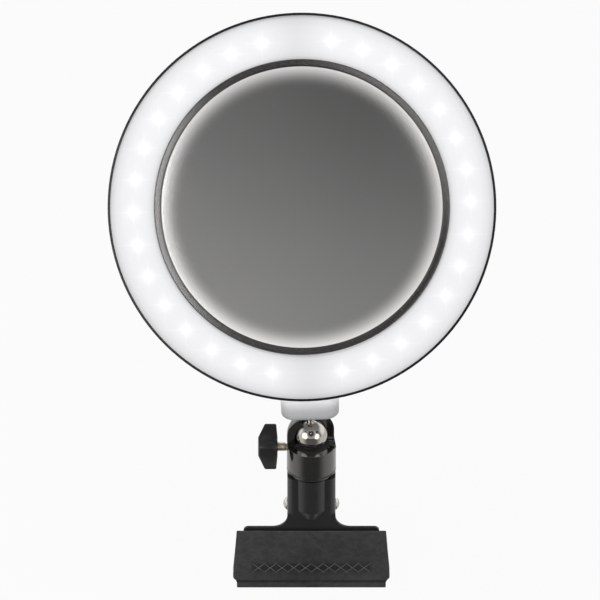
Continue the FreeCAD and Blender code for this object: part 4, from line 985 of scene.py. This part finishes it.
class RINGLIGHT_OT_pads(bpy.types.Operator):
    """Add the rubber pads of both jaws"""

    bl_idname = "ringlight.pads"
    bl_label = "Jaw pads"
    bl_options = {"REGISTER", "UNDO"}

    def execute(self, context):
        sizes = context.scene.ring_light_stand
        rubber = new_finish("grey rubber", soft_rubber, sizes.rubber)
        for node, top, jaw, crosses in (("front_pad", 9.8 * MM, FRONT_JAW, sizes.crosses),
                                        ("rear_pad", 23.0 * MM, REAR_JAW, 0)):
            pad = self.add_pad(node.replace("pad", "rubber"), top)
            if crosses:
                pad = joined([pad] + self.add_crosses(crosses, sizes.cross_pitch))
            put(pad, jaw)
            self.trim(pad, node)
            smooth(pad, 35)
            dress(pad, node, rubber)
        return {"FINISHED"}

    def add_pad(self, name, top):
        """A panel that widens downwards, a groove under it and a lip, with a slot for the plate."""
        panel_end, lip_end, groove = 46.2 * MM, 53.3 * MM, 3.1 * MM
        front, inner, corner = PANEL_FRONT * MM, 2.8 * MM, 1.8 * MM
        half_top, half_bottom, half_lip = 39.4, 41.4, 39.9
        slot_half, slot_end, slot_height = 35.8, 44.9, 40
        lip_setback, groove_depth, edge, leaf_drop = 1.3 * MM, 1.2 * MM, 0.55 * MM, 3.4 * MM
        bpy.ops.mesh.primitive_cube_add(size=1, location=(0, (front + inner) / 2, -(top + lip_end) / 2),
                                        scale=(2 * half_top * MM, inner - front, lip_end - top))
        pad = added(name)
        with editing(pad):
            for down in (panel_end - corner, panel_end, panel_end + groove):
                bpy.ops.mesh.select_all(action="SELECT")
                bpy.ops.mesh.bisect(plane_co=(0, 0, -down), plane_no=(0, 0, 1))
            pick(pad, "verts", lambda v: abs(v.co.z + panel_end - corner) < 1e-6)
            bpy.ops.transform.resize(value=(half_bottom / half_top, 1, 1), center_override=(0, 0, 0))
            pick(pad, "verts", lambda v: abs(v.co.z + panel_end) < 1e-6)
            bpy.ops.transform.resize(value=(half_lip / half_top, 1, 1), center_override=(0, 0, 0))
            pick(pad, "verts", lambda v: v.co.y < 0 and v.co.z < -panel_end - groove + 1e-6)
            bpy.ops.transform.translate(value=(0, lip_setback, 0))
            pick(pad, "faces", lambda f: abs(f.calc_center_median().z + panel_end + groove / 2) < groove / 3
                 and f.normal.y < -0.3)
            bpy.ops.mesh.inset(thickness=0.02 * MM, depth=-groove_depth)
            pick(pad, "edges", lambda e: len(e.link_faces) == 2 and e.calc_face_angle(0) > math.radians(25)
                 and abs(edge_middle(e).z + panel_end + groove / 2) > groove)
            bpy.ops.mesh.bevel(offset=edge, segments=3, affect="EDGES")
            pick(pad, "verts", lambda v: v.co.y > 1.3 * MM and v.co.z > -top - 1 * MM)
            bpy.ops.transform.translate(value=(0, 0, -leaf_drop))
        bpy.ops.mesh.primitive_cube_add(size=1, location=(0, 0.6 * MM, -(slot_end - slot_height / 2) * MM),
                                        scale=(2 * slot_half * MM, 1.26 * MM, slot_height * MM))
        slot = added("plate_slot")
        modified(pad, "BOOLEAN", object=slot, operation="DIFFERENCE", solver="EXACT")
        bpy.data.objects.remove(slot)
        return pad

    def add_crosses(self, count, pitch):
        """The row of raised crosses, each of two bars with rounded backs."""
        across, rise = 7.8, 7.7
        bar_length, slope = math.hypot(across, rise) * MM, math.atan2(rise, across)
        bpy.ops.mesh.primitive_cube_add(size=1, scale=(bar_length, 0.95 * MM, 0.62 * MM))
        bar = added("cross_bar")
        with editing(bar):
            pick(bar, "faces", lambda f: f.normal.y < -0.9)
            bpy.ops.transform.resize(value=(0.97, 1, 0.5), center_override=(0, 0, 0))
            pick(bar, "edges", lambda e: edge_middle(e).y < 0)
            bpy.ops.mesh.bevel(offset=0.12 * MM, segments=2, affect="EDGES")
        bars = []
        for k in range(count):
            for side in (-1, 1):
                copy = bar.copy()
                copy.data = bar.data.copy()
                bpy.context.scene.collection.objects.link(copy)
                x = (k - (count - 1) / 2) * pitch
                bars.append(put(copy, Matrix.Translation((x, PANEL_FRONT * MM, -CROSSES_DOWN * MM))
                                @ Matrix.Rotation(side * slope, 4, "Y")))
        bpy.data.objects.remove(bar)
        return bars

    def trim(self, pad, node):
        """Cuts the pad off where the two jaws meet."""
        side, half_gap = (-1 if node == "front_pad" else 1), 0.15 * MM
        with editing(pad):
            bpy.ops.mesh.select_all(action="SELECT")
            bpy.ops.mesh.bisect(plane_co=(0, side * half_gap, 0), plane_no=(0, side, 0), clear_inner=True,
                                use_fill=True)


class RINGLIGHT_PT_panel(bpy.types.Panel):
    """Sizes and pieces of the ring light"""

    bl_idname = "RINGLIGHT_PT_panel"
    bl_label = "Ring light"
    bl_space_type = "VIEW_3D"
    bl_region_type = "UI"
    bl_category = "Ring light"

    def draw(self, context):
        scene = context.scene
        for group in (scene.ring_light_studio, scene.ring_light_face, scene.ring_light_stand):
            box = self.layout.box()
            for name in group.bl_rna.properties.keys():
                if name not in ("rna_type", "name"):
                    box.prop(group, name)
        for operator in STEPS:
            self.layout.operator(operator.bl_idname)


# In the order in which they are run.
STEPS = (RINGLIGHT_OT_studio, RINGLIGHT_OT_solids, RINGLIGHT_OT_ball, RINGLIGHT_OT_lock_screw, RINGLIGHT_OT_knob,
         RINGLIGHT_OT_spring, RINGLIGHT_OT_pads)
GROUPS = {"ring_light_studio": StudioSizes, "ring_light_face": RingFaceSizes, "ring_light_stand": StandSizes}
CLASSES = (*GROUPS.values(), *STEPS, RINGLIGHT_PT_panel)


def register():
    for item in CLASSES:
        bpy.utils.register_class(item)
    for name, group in GROUPS.items():
        setattr(bpy.types.Scene, name, PointerProperty(type=group))


def unregister():
    for name in GROUPS:
        delattr(bpy.types.Scene, name)
    for item in reversed(CLASSES):
        bpy.utils.unregister_class(item)


def main():
    register()
    for step in STEPS:
        getattr(bpy.ops.ringlight, step.bl_idname.split(".")[1])()


if __name__ == "__main__":
    main()
